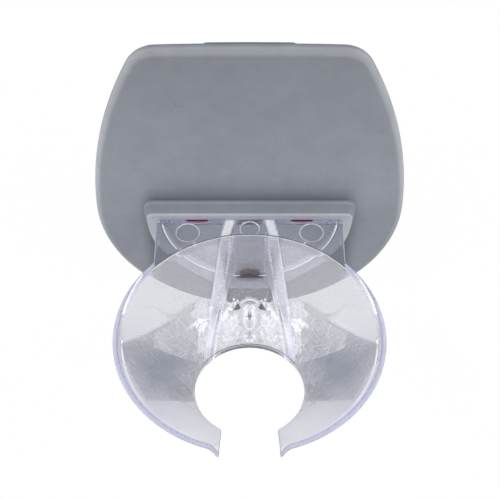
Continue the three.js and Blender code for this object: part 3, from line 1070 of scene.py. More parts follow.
@dataclass(frozen=True)
class LockKey:
    """One lock key: a D-section stud with its flat on the socket's wall, its tip up for 1, down for -1."""

    place: str
    x: float
    flat: float
    tip: int
    layers: Layers
    width: float = 10.4
    rise: float = 3.6
    flange: float = 1.5
    flange_thickness: float = 0.9
    proud: float = 0.4
    edge_round: float = 0.3
    edge_steps: int = 4
    corner_steps: int = 18

    @property
    def front(self) -> float:
        """Plane of the key's front face."""
        return self.layers.socket_front - self.proud

    @property
    def round_radius(self) -> float:
        """Radius of the D's round side."""
        return (self.width ** 2 / 4 + self.rise ** 2) / (2 * self.rise)

    def outline(self, grow: float) -> Array:
        """The D section in (x, z).

        Args:
            grow: How far the section is grown on all sides.

        Returns:
            Points as rows, anticlockwise.
        """
        radius = self.round_radius + grow
        centre = self.rise + grow - radius
        start = math.asin((-grow - centre) / radius)
        section = arc((0, centre), radius, start, math.pi - start, self.corner_steps)
        flat = np.linspace(section[-1], section[0], self.corner_steps // 2 + 1)[1:-1]
        placed = np.vstack([section, flat]) * (1, self.tip) + (self.x, self.flat)
        return placed if self.tip > 0 else placed[::-1]

    def notch(self, points: Array, overlap: float) -> Array:
        """Signed distance of the notch that the key stands in, open past the key's flat.

        Args:
            points: Points as rows.
            overlap: How far the plastic is pressed against the key.

        Returns:
            Distance of each point.
        """
        rise = (points[:, 2] - self.flat) * self.tip
        radial = np.hypot(points[:, 0] - self.x, rise - self.rise + self.round_radius) - self.round_radius
        return np.maximum(radial, self.front - points[:, 1]) + overlap

    def build(self, finish: Material) -> Piece:
        """Builds the key with its flange and rounded front edge.

        Args:
            finish: Material of the keys.

        Returns:
            The key's object.
        """
        back = self.layers.sheet_front
        flange_front = back - self.flange_thickness
        rings = [
            at_depth(self.outline(self.flange), back),
            at_depth(self.outline(self.flange), flange_front),
            at_depth(self.outline(0), flange_front),
        ]
        for drawn_in, left in quarter_round(self.edge_round, self.edge_steps):
            rings.append(at_depth(self.outline(-drawn_in), self.front + left))
        key = mesh_piece(f"red_key_{self.place}", *skin(rings), Shading.CREASED)
        return dress(key, finish, Body.PAD, f"lock_key_{self.place}")

    def cutter(self, grow: float) -> Piece:
        """A prism that cuts the key's seat out of the pad.

        Args:
            grow: Clearance round the key.

        Returns:
            The cutter's object.
        """
        rings = [at_depth(self.outline(grow), y) for y in (self.layers.core_front, self.front - grow)]
        return mesh_piece(f"seat_{self.place}", *skin(rings), Shading.CREASED)


@dataclass
class PadOutline:
    """The pad's outline: half an ellipse below, two long side arcs and a crowned top with round corners."""

    radius: float = 60.0
    lower_reach: float = 61.8
    lower_centre: float = -1.2
    side_radius: float = 180.0
    top: float = 82.6
    top_radius: float = 1000.0
    corner_radius: float = 12.0
    steps: tuple[int, int, int, int] = (240, 90, 40, 80)  # of the lower arc, a side, a corner and the crown

    def at(self, inset: float) -> Array:
        """The outline in (x, z), drawn in evenly.

        Args:
            inset: How far it is drawn in.

        Returns:
            Points as rows, anticlockwise.
        """
        side = np.array([self.radius - self.side_radius, 0.0])
        crown = np.array([0.0, self.top - self.top_radius])
        corner = self._corner_centre(side, crown)
        side_end = math.atan2(*(corner - side)[::-1])
        crown_start = math.atan2(*(corner - crown)[::-1])
        flip, half_turn = (-1, 1), math.pi
        lower_steps, side_steps, corner_steps, crown_steps = self.steps
        lower = arc((0, 0), 1, half_turn, 2 * half_turn, lower_steps)
        lower = lower * (self.radius - inset, self.lower_reach - inset) + (0, self.lower_centre)
        upper = (
            (side, self.side_radius, 0, side_end, side_steps),
            (corner, self.corner_radius, side_end, crown_start, corner_steps),
            (crown, self.top_radius, crown_start, half_turn - crown_start, crown_steps),
            (corner * flip, self.corner_radius, half_turn - crown_start, half_turn - side_end, corner_steps),
            (side * flip, self.side_radius, half_turn - side_end, half_turn, side_steps))
        arcs = [arc(centre, radius - inset, *turns)[:-1] for centre, radius, *turns in upper]
        return np.vstack([lower, *arcs])

    def _corner_centre(self, side: Array, crown: Array) -> Array:
        """Centre of the right corner's arc, tangent to the side and to the crown.

        Args:
            side: Centre of the right side's arc.
            crown: Centre of the crown's arc.

        Returns:
            The centre.
        """
        near, far = self.side_radius - self.corner_radius, self.top_radius - self.corner_radius
        span = crown - side
        length = float(np.hypot(*span))
        along = (length ** 2 + near ** 2 - far ** 2) / (2 * length)
        aside = math.sqrt(near ** 2 - along ** 2)
        unit = span / length
        foot = side + unit * along
        normal = np.array([-unit[1], unit[0]])
        return max(foot + normal * aside, foot - normal * aside, key=lambda p: p[1])


@dataclass
class SiliconePad:
    """The soft wall pad with its collar, one loft from the recess at its back to the floor of its socket."""

    layers: Layers
    outline: PadOutline
    keys: Sequence[LockKey]
    edge_round: float = 3.0
    edge_steps: int = 10
    edge_land: float = 0.4
    recess_margin: float = 4.7
    collar_radius: float = 39.8
    collar_lip: float = 3.3
    collar_foot: float = 43.0
    collar_taper: float = math.radians(50)
    collar_steps: int = 60
    collar_corner: float = 2.4
    corner_steps: int = 16
    collar_draft: float = 0.9
    collar_round: float = 0.7
    collar_round_steps: int = 6
    collar_land: float = 0.2
    foot_fillet: tuple[tuple[float, float], ...] = ((0.5, 0.0), (0.15, 0.1), (0.0, 0.45))  # out, up
    base_step: float = 0.5
    base_height: float = 1.2
    mouth_round: float = 0.35
    mouth_steps: int = 160
    small_steps: int = 4
    dimple_x: float = 26.0
    dimple_heights: tuple[float, float] = (57.0, 74.0)
    dimple_radius: float = 1.2
    dimple_depth: float = 0.75
    dimple_segments: int = 32
    pole: tuple[float, float] = (0.0, -15.0)
    directions: int = 900
    # painted light on the pad's rounded front edge and on the collar's base step, round edge and front land;
    # painted shade at the collar's foot and sides
    finish: MouldedSilicone = MouldedSilicone("silicone_rubber_grey_moulded_satin", "#969aa3", painted_light_bands=(
        (-1.8, "#969aa3"), (-2.6, "#adafb7"), (-4.6, "#a9abb3"), (-4.95, "#969aa3"),
        (-5.9, "#8d929b"), (-6.2, "#9fa5ae"), (-6.7, "#8f959e"), (-10.5, "#9197a0"),
        (-10.9, "#d0d2da"), (-11.25, "#c6c8d1"), (-11.4, "#c2c4ce")),
        shades=(
            # painted shade in the corner over the collar, where little light reaches
            Shade("#a9adb4", 22.0, 3.3, (-5.3, 0.0), 40.0, 2.2),
            # painted shade: the upper half is a little darker
            Shade("#e4e4e4", 20.0, 78.0, (-5.3, 0.0), 70.0),
            # so is the lower edge, which the cradle shades
            Shade("#ececec", 12.0, -20.0, (-5.3, 0.0), 70.0),
            # painted shade darkens the collar's front face
            Shade("#ebebeb", 90.0, 80.0, (-12.0, -10.9), 70.0),
            # the collar's land under the web lies in the cradle's shade
            Shade("#b4b5ba", 0.8, -2.5, (-11.6, -10.4), 36.0, soft_side=0.6)))

    def collar_outline(self, inset: float) -> Array:
        """The collar's outer outline in (x, z), drawn in evenly.

        Args:
            inset: How far it is drawn in.

        Returns:
            Points as rows, anticlockwise.
        """
        radius, foot, top = self.collar_radius - inset, self.collar_foot - inset, self.collar_lip - inset
        corner = self.collar_corner - inset / 2
        half_foot = (radius - foot * math.sin(self.collar_taper)) / math.cos(self.collar_taper)
        right = np.vstack([
            [(half_foot, -foot)],
            arc((0, 0), radius, -self.collar_taper, 0, self.collar_steps),
            arc((radius - corner, top - corner), corner, 0, math.pi / 2, self.corner_steps),
        ])
        return np.vstack([right, right[::-1] * (-1, 1)])

    def mouth_outline(self, grow: float) -> Array:
        """The socket's inner outline in (x, z).

        Args:
            grow: How far it is grown beyond the plug.

        Returns:
            Points as rows, anticlockwise.
        """
        radius = self.layers.plug_radius + grow
        round_side = arc((0, 0), radius, math.pi, 2 * math.pi, self.mouth_steps)
        return np.vstack([round_side, [(radius, grow), (-radius, grow)]])

    def rings(self) -> list[Array]:
        """All rings of the loft, from the back recess over the front to the socket's floor.

        Returns:
            Rings of points.
        """
        layers = self.layers
        even = np.linspace(-math.pi, math.pi, self.directions, endpoint=False)
        mouth = layers.plug_radius + layers.clearance
        corner = math.atan2(layers.clearance - self.pole[1], mouth - self.pole[0])
        angles = np.union1d(even, [corner, math.pi - corner])
        recess = self.outline.at(self.recess_margin)
        spans = [
            (recess, layers.core_front - layers.clearance),
            (recess, layers.sheet_front),
            (self.outline.at(0), layers.sheet_front),
        ]
        for drawn_in, left in quarter_round(self.edge_round, self.edge_steps):
            spans.append((self.outline.at(drawn_in), layers.pad_front + left))
        spans.append((self.outline.at(self.edge_round + self.edge_land), layers.pad_front))
        spans += self._collar_spans()
        return [at_depth(seen_from(outline, self.pole, angles), y) for outline, y in spans]

    def _collar_spans(self) -> list[tuple[Array, float]]:
        """Outlines and planes of the collar, from its stepped base to the socket's floor.

        Returns:
            Pairs of outline and y.
        """
        front, floor = self.layers.socket_front, self.layers.pad_front
        step_top = floor - self.base_height
        base = -self.collar_draft - self.base_step
        spans = [(self.collar_outline(base - out), floor - up) for out, up in self.foot_fillet]
        for drawn_in, left in quarter_round(self.base_step, self.small_steps):
            spans.append((self.collar_outline(base + drawn_in), step_top + left))
        for drawn_in, left in quarter_round(self.collar_round, self.collar_round_steps):
            spans.append((self.collar_outline(drawn_in), front + left))
        spans.append((self.collar_outline(self.collar_round + self.collar_land), front))
        clearance = self.layers.clearance
        for drawn_in, left in reversed(quarter_round(self.mouth_round, self.small_steps)):
            spans.append((self.mouth_outline(clearance + drawn_in), front + left))
        spans.append((self.mouth_outline(clearance), floor))
        return spans

    def dimples(self) -> list[Piece]:
        """Shallow round cutters for the marks that the core's pins leave on the front.

        Returns:
            One cutter for each mark.
        """
        ball = (self.dimple_radius ** 2 + self.dimple_depth ** 2) / (2 * self.dimple_depth)
        cutters = []
        for x in (-self.dimple_x, self.dimple_x):
            for z in self.dimple_heights:
                shape = bmesh.new()
                count = self.dimple_segments
                bmesh.ops.create_uvsphere(shape, u_segments=count, v_segments=count, radius=ball * MM)
                mesh = bpy.data.meshes.new("dimple")
                shape.to_mesh(mesh)
                shape.free()
                cutter = bpy.data.objects.new("dimple", mesh)
                cutter.location = Vector((x, self.layers.pad_front + self.dimple_depth - ball, z)) * MM
                bpy.context.scene.collection.objects.link(cutter)
                cutters.append(cutter)
        return cutters

    def build(self) -> Piece:
        """Builds and dresses the pad.

        Returns:
            The pad's object.
        """
        pad = mesh_piece("silicone_pad", *skin(self.rings()), Shading.CREASED)
        seats = [key.cutter(self.layers.clearance) for key in self.keys]
        cut_away(pad, [*seats, *self.dimples()])
        return dress(pad, self.finish.material(), Body.PAD, "grip_pad")


@dataclass
class WallSheet:
    """The tacky sheet on the wall side, with its lift tab over the pad's top edge."""

    layers: Layers
    outline: PadOutline
    inset: float = 0.4
    tab_half_width: float = 16.5
    tab_reach: float = 0.12
    tab_run: float = 1.2
    edge_round: float = 0.25
    edge_steps: int = 4
    edge_division: float = 0.4
    pole: tuple[float, float] = (0.0, 20.0)
    directions: int = 900
    finish: MouldedSilicone = MouldedSilicone(
        "silicone_rubber_tacky_sheet_smooth", "#6f747b", roughness=0.3, grain_depth_mm=0.008,
        dust_colour="#8c9097")

    def edge(self, inset: float) -> Array:
        """The sheet's outline in (x, z), with the tab raised over the top.

        Args:
            inset: How far it is drawn in from the pad's outline.

        Returns:
            Points as rows.
        """
        points = finely_divided(self.outline.at(inset), self.edge_division)
        rise = eased(np.clip((self.tab_half_width - np.abs(points[:, 0])) / self.tab_run, 0, 1))
        points[:, 1] += np.where(points[:, 1] > 0, (self.tab_reach + self.inset) * rise, 0)
        return points

    def build(self) -> Piece:
        """Builds and dresses the sheet.

        Returns:
            The sheet's object.
        """
        even = np.linspace(-math.pi, math.pi, self.directions, endpoint=False)
        steps = reversed(quarter_round(self.edge_round, self.edge_steps))
        spans = [(self.inset + drawn_in, -rise) for drawn_in, rise in steps]
        spans += [(inset, -self.layers.sheet - y) for inset, y in reversed(spans)]
        rings = [at_depth(seen_from(self.edge(inset), self.pole, even), y) for inset, y in spans]
        sheet = mesh_piece("tacky_wall_sheet", *skin(rings), Shading.CREASED)
        return dress(sheet, self.finish.material(), Body.PAD, "wall_sheet")


@dataclass
class ClearCradle:
    """The clear cradle, one moulding: funnel bowl, web, two splayed ribs, plug and the mould's marks."""

    layers: Layers
    keys: Sequence[LockKey]
    rim_radius: float = 50.0
    rim_land: float = 1.9
    rim_band: float = 0.5
    depth: float = 37.5
    reach: float = 55.2
    hole_radius: float = 21.0
    hole_edge: float = 2.9
    slot_half_width: float = 10.6
    slot_corner_width: float = 1.1
    slot_corner_run: float = 2.4
    flare: float = 2.6
    flare_width: float = 4.6
    flare_limit: float = 1.5
    web_half_width: float = 36.3
    web_thickness: float = 2.2
    rib_spacing: float = 7.7
    rib_splay: float = math.radians(13)
    rib_thickness: float = 3.0
    rib_foot: float = 31.0
    rib_arch: float = 26.5
    rib_root: float = 1.0
    mark_depth: float = 0.3
    mark_edge: float = 0.4
    open_mark: float = 0.6
    marks: tuple[tuple[float, float, float], ...] = ((-23.9, 6.1, 4.5), (0.0, 4.2, 3.7), (23.9, 6.1, 4.5))
    gate_depth: float = 26.0
    gate_steps: tuple[tuple[float, float], ...] = ((5.9, 0.8), (1.7, 1.3))
    edge_round: float = 0.45
    fillet: float = 1.1
    key_press: float = 0.04
    # zones of the finish: outlines in (|x|, y), clockwise, heights, runs over which a zone fades, and shares
    zone_blend: float = 0.5
    inner_reach: float = 1.2
    top_blend: float = 0.4
    # panels of painted shade on the bowl's sides, with a lighter patch in them
    panel: tuple[tuple[float, float], ...] = (
        (36.7, -91.1), (22.7, -73.7), (18.8, -55.5), (20.8, -45.0), (26.5, -44.4), (32.1, -49.9),
        (37.6, -56.4), (46.9, -69.3), (44.7, -76.7))
    lighter_patch: tuple[tuple[float, float], ...] = (
        (18.8, -55.5), (20.8, -45.0), (26.5, -44.4), (36.2, -55.7), (35.9, -61.2))
    # painted light that lightens the dulled side and the tip
    dulled_side: tuple[tuple[float, float], ...] = (
        (46.5, -71.8), (26.8, -47.0), (36.0, -44.5), (46.5, -51.5), (49.2, -58.0), (49.0, -66.0))
    dulled_side_painted_light: float = 0.28
    dulled_from: float = -76.0
    dulled_fade: float = 3.0
    dulled_edge: float = 4.0
    tip: tuple[tuple[float, float], ...] = (
        (46.0, -81.0), (26.4, -77.0), (24.8, -98.0), (24.4, -110.0), (44.0, -106.0))
    tip_painted_light: float = 0.6
    tip_fade: float = 3.6
    wall_haze: float = 0.08
    rib_top_painted_light: float = 0.6
    rib_side: float = 2.6
    plug_veil: float = 0.022
    band_veil: float = 0.06
    band_reach: float = 1.6
    band_run: float = 1.2
    web_veil: float = 0.035
    wall_veil: float = 0.03
    upper_key_clear: tuple[float, float] = (4.0, 1.5)
    lower_key_clear: tuple[float, float] = (5.0, 2.0)
    key_window: tuple[float, float, float] = (-12.5, 6.5, 2.2)
    key_window_edge: float = 3.0
    # painted light on the back wall between the ribs
    bay_heights: tuple[float, float] = (-21.0, -14.0)
    bay_half_width: float = 8.5
    bay_painted_light: float = 0.15
    # a painted glint where a side ring meets the rim
    glint: tuple[float, float, float] = (21.0, -23.1, 0.8)
    # lines of painted highlight and painted shade along the edges: places, half widths, and how far from an
    # edge they are looked for
    rim_gleam_turns: tuple[float, float] = (12.0, 36.0)
    rim_gleam_radii: tuple[float, float] = (47.7, 49.25)
    rim_gleam_half: float = 0.5
    rim_gleam_gap: float = 0.4
    rim_outline: float = 0.05
    rim_zone: float = 2.0
    lip_gleam: float = 46.6
    lip_gleam_from: float = 30.0
    lip_line_thinner: float = 0.7
    bowl_line_reach: float = 2.5
    bowl_line_thinner: float = 1.8
    bowl_shadow: float = 0.2
    line_inset: float = 0.5
    plug_line_wider: float = 1.3
    plug_shadow: float = 0.1
    plug_shadow_reach: float = 1.0
    gate_arcs: tuple[tuple[float, float, float], ...] = ((26.4, 6.0, 1.0), (27.7, 2.0, -1.0))
    gate_arc_half: float = 3.7
    web_side: float = 0.2
    web_side_from: float = 0.3
    hole_zone: tuple[float, float] = (1.2, 1.0)
    slot_zone: tuple[float, float] = (0.6, 1.0)
    cell: float = 0.63
    evening_rounds: int = 3
    finish: ClearPolystyrene = ClearPolystyrene("polystyrene_clear_polished_mould")
    centre: float = field(init=False)
    slope: float = field(init=False)

    def __post_init__(self) -> None:
        """Works out the bowl's axis and the slope of its wall."""
        self.centre = self.layers.socket_front - self.reach
        inner_run = self.rim_radius - self.rim_land - self.hole_radius
        self.slope = math.atan2(self.depth - self.hole_edge, inner_run)

    @property
    def plug_front(self) -> float:
        """Front plane of the plug."""
        return self.layers.socket_front - self.layers.plug_proud

    def spread(self, x: Array, y: Array) -> Array:
        """Distance from the bowl's axis, less what the wall bends outwards beside the slot.

        Args:
            x: Sideways places.
            y: Places along the way in.

        Returns:
            Distance of each point.
        """
        ahead = self.centre - y
        plain = np.hypot(x, ahead)
        rim_x = self.rim_radius * np.abs(x) / np.maximum(plain, self.edge_round)
        bend = np.clip(1 - (rim_x - self.slot_half_width) / self.flare_width, 0, self.flare_limit)
        return plain - np.where(ahead > 0, self.flare * bend ** 2, 0)

    def funnel(self, spread: Array, z: Array) -> Array:
        """Signed distance of the filled funnel below its open top.

        Args:
            spread: Distance from the bowl's axis.
            z: Height.

        Returns:
            Distance of each point.
        """
        wall = (spread - self.rim_radius) * math.sin(self.slope) - (z + self.rim_band) * math.cos(self.slope)
        return rounded_off([spread - self.rim_radius, wall, -z - self.depth], self.edge_round)

    def rib(self, points: Array, side: int) -> Array:
        """Signed distance of one rib, a plate with an arched lower edge.

        Args:
            points: Points as rows.
            side: 1 for the right rib, -1 for the left.

        Returns:
            Distance of each point.
        """
        sine, cosine = math.sin(self.rib_splay), math.cos(self.rib_splay)
        outwards = side * points[:, 0] - self.rib_spacing
        forwards = self.plug_front - points[:, 1]
        run = outwards * sine + forwards * cosine
        across = np.abs(outwards * cosine - forwards * sine) - self.rib_thickness / 2
        end = self.reach - self.hole_radius
        bend = self.reach / 4
        spare = end - 2 * bend
        share = (-bend + np.sqrt(bend ** 2 + spare * np.clip(run, 0, end))) / spare
        lower = (
            -self.rib_foot * (1 - share) ** 2
            - 2 * self.rib_arch * share * (1 - share)
            - self.depth * share ** 2)
        lean = math.cos(math.atan2(self.depth - self.rib_foot, end))
        sides = [
            across, -run - self.rib_root, run - end - self.rib_spacing, (lower - points[:, 2]) * lean]
        return rounded_off(sides, self.edge_round)

    def web(self, points: Array) -> Array:
        """Signed distance of the flat web below its top face.

        Args:
            points: Points as rows.

        Returns:
            Distance of each point.
        """
        x, y, z = points.T
        back = self.layers.socket_front - self.layers.clearance
        sides = [np.abs(x) - self.web_half_width, y - back, self.centre - y, -z - self.web_thickness]
        return rounded_off(sides, self.edge_round)

    def plug(self, points: Array) -> Array:
        """Signed distance of the plug's disc, whose upper half is cut off by the top face.

        Args:
            points: Points as rows.

        Returns:
            Distance of each point.
        """
        x, y, z = points.T
        back = self.layers.pad_front - self.layers.clearance
        sides = [np.hypot(x, z) - self.layers.plug_radius, y - back, self.plug_front - y]
        return rounded_off(sides, self.edge_round)

    def gate(self, points: Array, radius: float, proud: float) -> Array:
        """Signed distance of a disc square to the bowl's back wall.

        Args:
            points: Points as rows.
            radius: Radius of the disc.
            proud: How far it stands out of the wall.

        Returns:
            Distance of each point.
        """
        outward = np.array([0, math.sin(self.slope), -math.cos(self.slope)])
        wall_radius = self.hole_radius + (self.depth - self.gate_depth) / math.tan(self.slope)
        offset = points - (0, self.centre + wall_radius, -self.gate_depth)
        height = offset @ outward
        aside = np.linalg.norm(offset - height[:, None] * outward, axis=1)
        sides = [aside - radius, height - proud, -height - self.hole_edge / 2]
        return rounded_off(sides, self.edge_round / 2)

    def top(self, points: Array) -> Array:
        """Signed distance below the top face, with the sunk discs that ejector pins leave.

        Args:
            points: Points as rows.

        Returns:
            Distance of each point.
        """
        x, y, z = points.T
        level = np.zeros(len(points))
        for mark_x, mark_reach, radius in self.marks:
            aside = np.hypot(x - mark_x, y - self.layers.socket_front + mark_reach)
            level -= self.mark_depth * eased(np.clip((radius - aside) / self.mark_edge + HALF, 0, 1))
        return z - level

    def slot(self, x: Array, y: Array, spread: Array) -> Array:
        """Signed distance outside the stem's way in, which widens where the rim's corners are rounded.

        Args:
            x: Sideways places.
            y: Places along the way in.
            spread: Distances from the bowl's axis.

        Returns:
            Distance of each point, negative in the material.
        """
        past = np.clip((spread - self.rim_radius) / self.slot_corner_run + 1, 0, 1)
        corner = self.slot_corner_width * (1 - np.sqrt(1 - past ** 2))
        return np.minimum(self.slot_half_width + corner - np.abs(x), self.centre - y)

    def field(self, points: Array) -> Array:
        """Signed distance of the whole moulding.

        Args:
            points: Points as rows, in millimetres.

        Returns:
            Distance of each point, negative inside.
        """
        x, y, z = points.T
        spread = self.spread(x, y)
        body = filleted(self.funnel(spread, z), self.web(points), self.fillet)
        for side in (-1, 1):
            body = filleted(body, self.rib(points, side), self.fillet)
        body = filleted(body, self.plug(points), self.fillet / 2)
        for radius, proud in self.gate_steps:
            body = filleted(body, self.gate(points, radius, proud), self.fillet / 4)
        inner_rim = self.rim_radius - self.rim_land
        bowl = z * math.cos(self.slope) - (spread - inner_rim) * math.sin(self.slope)
        sides = [body, self.top(points), bowl, self.hole_radius - spread, self.slot(x, y, spread)]
        solid = rounded_off(sides, self.edge_round)
        for key in self.keys:
            solid = rounded_off([solid, -key.notch(points, self.key_press)], self.edge_round / 3)
        return solid

    def zones(self, points: Array) -> dict[Zone, Array]:
        """Where the finish changes on the surface, and where light and shade are painted on it.

        Args:
            points: Surface points as rows.

        Returns:
            One value for each zone and point.
        """
        x, y, z = points.T
        spread = self.spread(x, y)
        outside = (spread - self.rim_radius + self.rim_land) * math.sin(self.slope)
        outside = outside - z * math.cos(self.slope)
        hidden = np.clip(-z / self.zone_blend - HALF, 0, 1)
        hidden = hidden * np.clip(outside / self.zone_blend - HALF, 0, 1)
        inner = np.clip(self.inner_reach - outside / self.zone_blend, 0, 1)
        on_inner = inner > HALF
        near_rib = np.minimum(self.rib(points, -1), self.rib(points, 1))
        on_rib = np.clip(1 - near_rib / self.zone_blend, 0, 1)
        on_plug = np.clip(1 - self.plug(points) / self.zone_blend, 0, 1) * hidden
        on_plug *= self._clear_of_keys(x, z, 1, self.lower_key_clear)
        on_top = np.clip(1 + z / self.top_blend, 0, 1)
        over_plug = np.clip((y - self.plug_front + self.band_reach) / self.band_run, 0, 1) * on_top
        over_plug *= self._clear_of_keys(x, z, -1, self.upper_key_clear)
        over_plug *= np.abs(x) < self.layers.plug_radius
        panel, lighter_patch, tip, dulled_side = (
            np.where(on_inner, depth_inside(corners, np.abs(x), y), -FAR)
            for corners in (self.panel, self.lighter_patch, self.tip, self.dulled_side))
        dulled = np.maximum(dulled_side, np.where(on_inner, self.dulled_from - y, -FAR))
        dulled = np.minimum(dulled, -self.dulled_edge * panel)
        bay_low, bay_high = self.bay_heights
        bay_depth = np.minimum.reduce([z - bay_low, bay_high - z, self.bay_half_width - np.abs(x)])
        in_bay = inner * (y > self.centre) * np.clip(bay_depth, 0, 1)
        unseen_key = 1 - self._seen_key(x, z)
        glint_x, glint_y, glint_radius = self.glint
        off_glint = np.hypot(np.abs(x) - glint_x, y - glint_y) / glint_radius
        # haziness of the wall, with painted light on the rib tops, between the ribs, on the dulled side, at
        # the tip and in a glint
        haze_and_painted_light = np.maximum.reduce([
            on_rib * on_top * (1 - inner) * self.rib_top_painted_light,
            inner * self.wall_haze * unseen_key,
            in_bay * self.bay_painted_light,
            self.dulled_side_painted_light * np.clip(dulled_side / self.dulled_fade, 0, 1),
            self.tip_painted_light * np.clip(tip / self.tip_fade, 0, 1),
            on_top * np.clip(2 - 2 * off_glint, 0, 1),
        ])
        off_gleam = np.abs(self._rim_gleam(x, y, spread)) - self.rim_gleam_half
        beside_gleam = np.where(off_gleam > 0, off_gleam + self.rim_gleam_gap, -self.rim_gleam_gap)
        rim = np.minimum.reduce([
            outside, z + 2 * self.rim_band, beside_gleam, self.rim_radius + self.rim_outline - spread])
        return {
            Zone.FROST: np.maximum(on_rib * hidden, on_plug),
            Zone.VEIL: np.maximum.reduce([
                on_plug * self.plug_veil, over_plug * self.band_veil, on_top * (1 - inner) * self.web_veil,
                inner * (y > self.centre + self.hole_radius) * unseen_key * self.wall_veil]),
            Zone.FLOW: inner * (y > self.centre + self.hole_radius / 2),
            Zone.RIB: np.where(hidden < HALF, -near_rib, OUTSIDE),
            Zone.SIDE: np.where(on_inner, self._rib_side(x, y), OUTSIDE),
            Zone.RIM: np.where(self._over_web(x, y), OUTSIDE, rim),
            Zone.LINE: self._bright_edges(points, spread, on_inner),
            Zone.RING: self._mould_rings(points, on_inner),
            Zone.DARK: self._dark_edges(points, spread),
            Zone.HAZE: haze_and_painted_light,
            Zone.DULL: np.clip(dulled / self.dulled_fade, 0, 1),
            Zone.PANEL: panel,
            Zone.LIGHTER_PATCH: lighter_patch,
        }

    def _over_web(self, x: Array, y: Array) -> Array:
        """Whether points lie within the web's width behind the bowl's axis."""
        return (np.abs(x) < self.web_half_width) & (y > self.centre)

    def _clear_of_keys(self, x: Array, z: Array, tip: int, clear: tuple[float, float]) -> Array:
        """Share of a finish that keys leave: none next to a key, all of it farther out.

        Args:
            x: Sideways places.
            z: Heights.
            tip: Way that the keys' tips point, 1 for up and -1 for down.
            clear: Radius without the finish, and the run over which it comes back.

        Returns:
            Share of each point.
        """
        radius, run = clear
        off = np.min([np.hypot(x - key.x, z - key.flat) for key in self.keys if key.tip == tip], axis=0)
        return np.clip((off - radius) / run, 0, 1)

    def _rib_side(self, x: Array, y: Array) -> Array:
        """Depth in the strip of painted light where a rib's inner side shows through the bowl, which narrows
        to the hole.

        Args:
            x: Sideways places.
            y: Places along the way in.

        Returns:
            Depth of each point, negative outside the strip.
        """
        outwards, forwards = np.abs(x) - self.rib_spacing, self.plug_front - y
        sine, cosine = math.sin(self.rib_splay), math.cos(self.rib_splay)
        run = outwards * sine + forwards * cosine
        inset = forwards * sine - outwards * cosine - self.rib_thickness / 2
        width = self.rib_side * np.clip(1 - run / (self.reach - self.hole_radius), 0, 1)
        return np.minimum(inset, width - inset)

    def _rim_gleam(self, x: Array, y: Array, spread: Array) -> Array:
        """Offset from the painted gleam that runs over the rim from its outer to its inner edge, on both
        sides.

        Args:
            x: Sideways places.
            y: Places along the way in.
            spread: Distances from the bowl's axis.

        Returns:
            Signed offset of each point, large where there is none.
        """
        start, end = self.rim_gleam_turns
        along = (np.degrees(np.arctan2(y - self.centre, np.abs(x))) - start) / (end - start)
        first, last = self.rim_gleam_radii
        return np.where((along > 0) & (along < 1), spread - first - (last - first) * along, FAR)

    def _seen_key(self, x: Array, z: Array) -> Array:
        """Share of each point of the bowl's back wall before the lower key that is kept free of haziness and
        speckle.

        Args:
            x: Sideways places.
            z: Heights.

        Returns:
            Share of each point.
        """
        height, half_width, half_height = self.key_window
        away = np.hypot(x / half_width, (z - height) / half_height)
        return np.clip(self.key_window_edge - self.key_window_edge * away, 0, 1)

    def _bright_edges(self, points: Array, spread: Array, on_inner: Array) -> Array:
        """Offset from the nearest painted highlight along an edge: of the plug, web, bowl and gate.

        Args:
            points: Surface points as rows.
            spread: Their distances from the bowl's axis.
            on_inner: Whether each point lies on the bowl's inner wall.

        Returns:
            Signed offset of each point, large where there is none.
        """
        x, y, z = points.T
        behind, near_rim = y > self.centre, z > -self.rim_zone
        plug_edge = (np.hypot(x, z) - self.layers.plug_radius + self.line_inset) / self.plug_line_wider
        on_plug = (np.abs(y - self.plug_front) < self.line_inset) & (z < -self.web_thickness)
        bowl_edge = spread - self.rim_radius + self.rim_land + z + self.line_inset
        bowl_edge *= np.where(self._over_web(x, y), self.bowl_line_thinner, 1.0)
        gleam = self._rim_gleam(x, y, spread) * self.finish.line_half_mm / self.rim_gleam_half
        on_lip = on_inner & (y < self.centre) & (spread > self.lip_gleam_from)
        on_side = np.abs(x) > self.web_half_width - self.web_side
        on_side &= (spread > self.rim_radius + self.web_side_from) & behind
        lines = [
            (near_rim, gleam),
            (on_plug, plug_edge),
            ((np.abs(bowl_edge) < self.bowl_line_reach) & near_rim, bowl_edge),
            (on_lip, (spread - self.lip_gleam) * self.lip_line_thinner),
        ]
        for depth, radius, side in self.gate_arcs:
            drawn = on_inner & behind & (side * (z + depth) > 0) & (np.abs(x) < self.gate_arc_half)
            lines.append((drawn, np.hypot(x, z + depth) - radius))
        lines.append((on_side, np.clip(z + self.web_thickness / 2, -self.web_side, self.web_side)))
        return nearest_line(lines, len(points))

    def _mould_rings(self, points: Array, on_inner: Array) -> Array:
        """Offset from the nearest ring that an ejector pin left on the web, drawn with a painted highlight,
        the middle one open in front.

        Args:
            points: Surface points as rows.
            on_inner: Whether each point lies on the bowl's inner wall.

        Returns:
            Signed offset of each point, large where there is none.
        """
        x, y, z = points.T
        on_web = (z > -2 * self.mark_depth) & ~on_inner
        rings = []
        for mark_x, mark_reach, radius in self.marks:
            forwards = self.layers.socket_front - mark_reach - y
            closed = (forwards < self.open_mark * radius) | (mark_x != 0)
            rings.append((on_web & closed, np.hypot(x - mark_x, forwards) - radius))
        return nearest_line(rings, len(points))

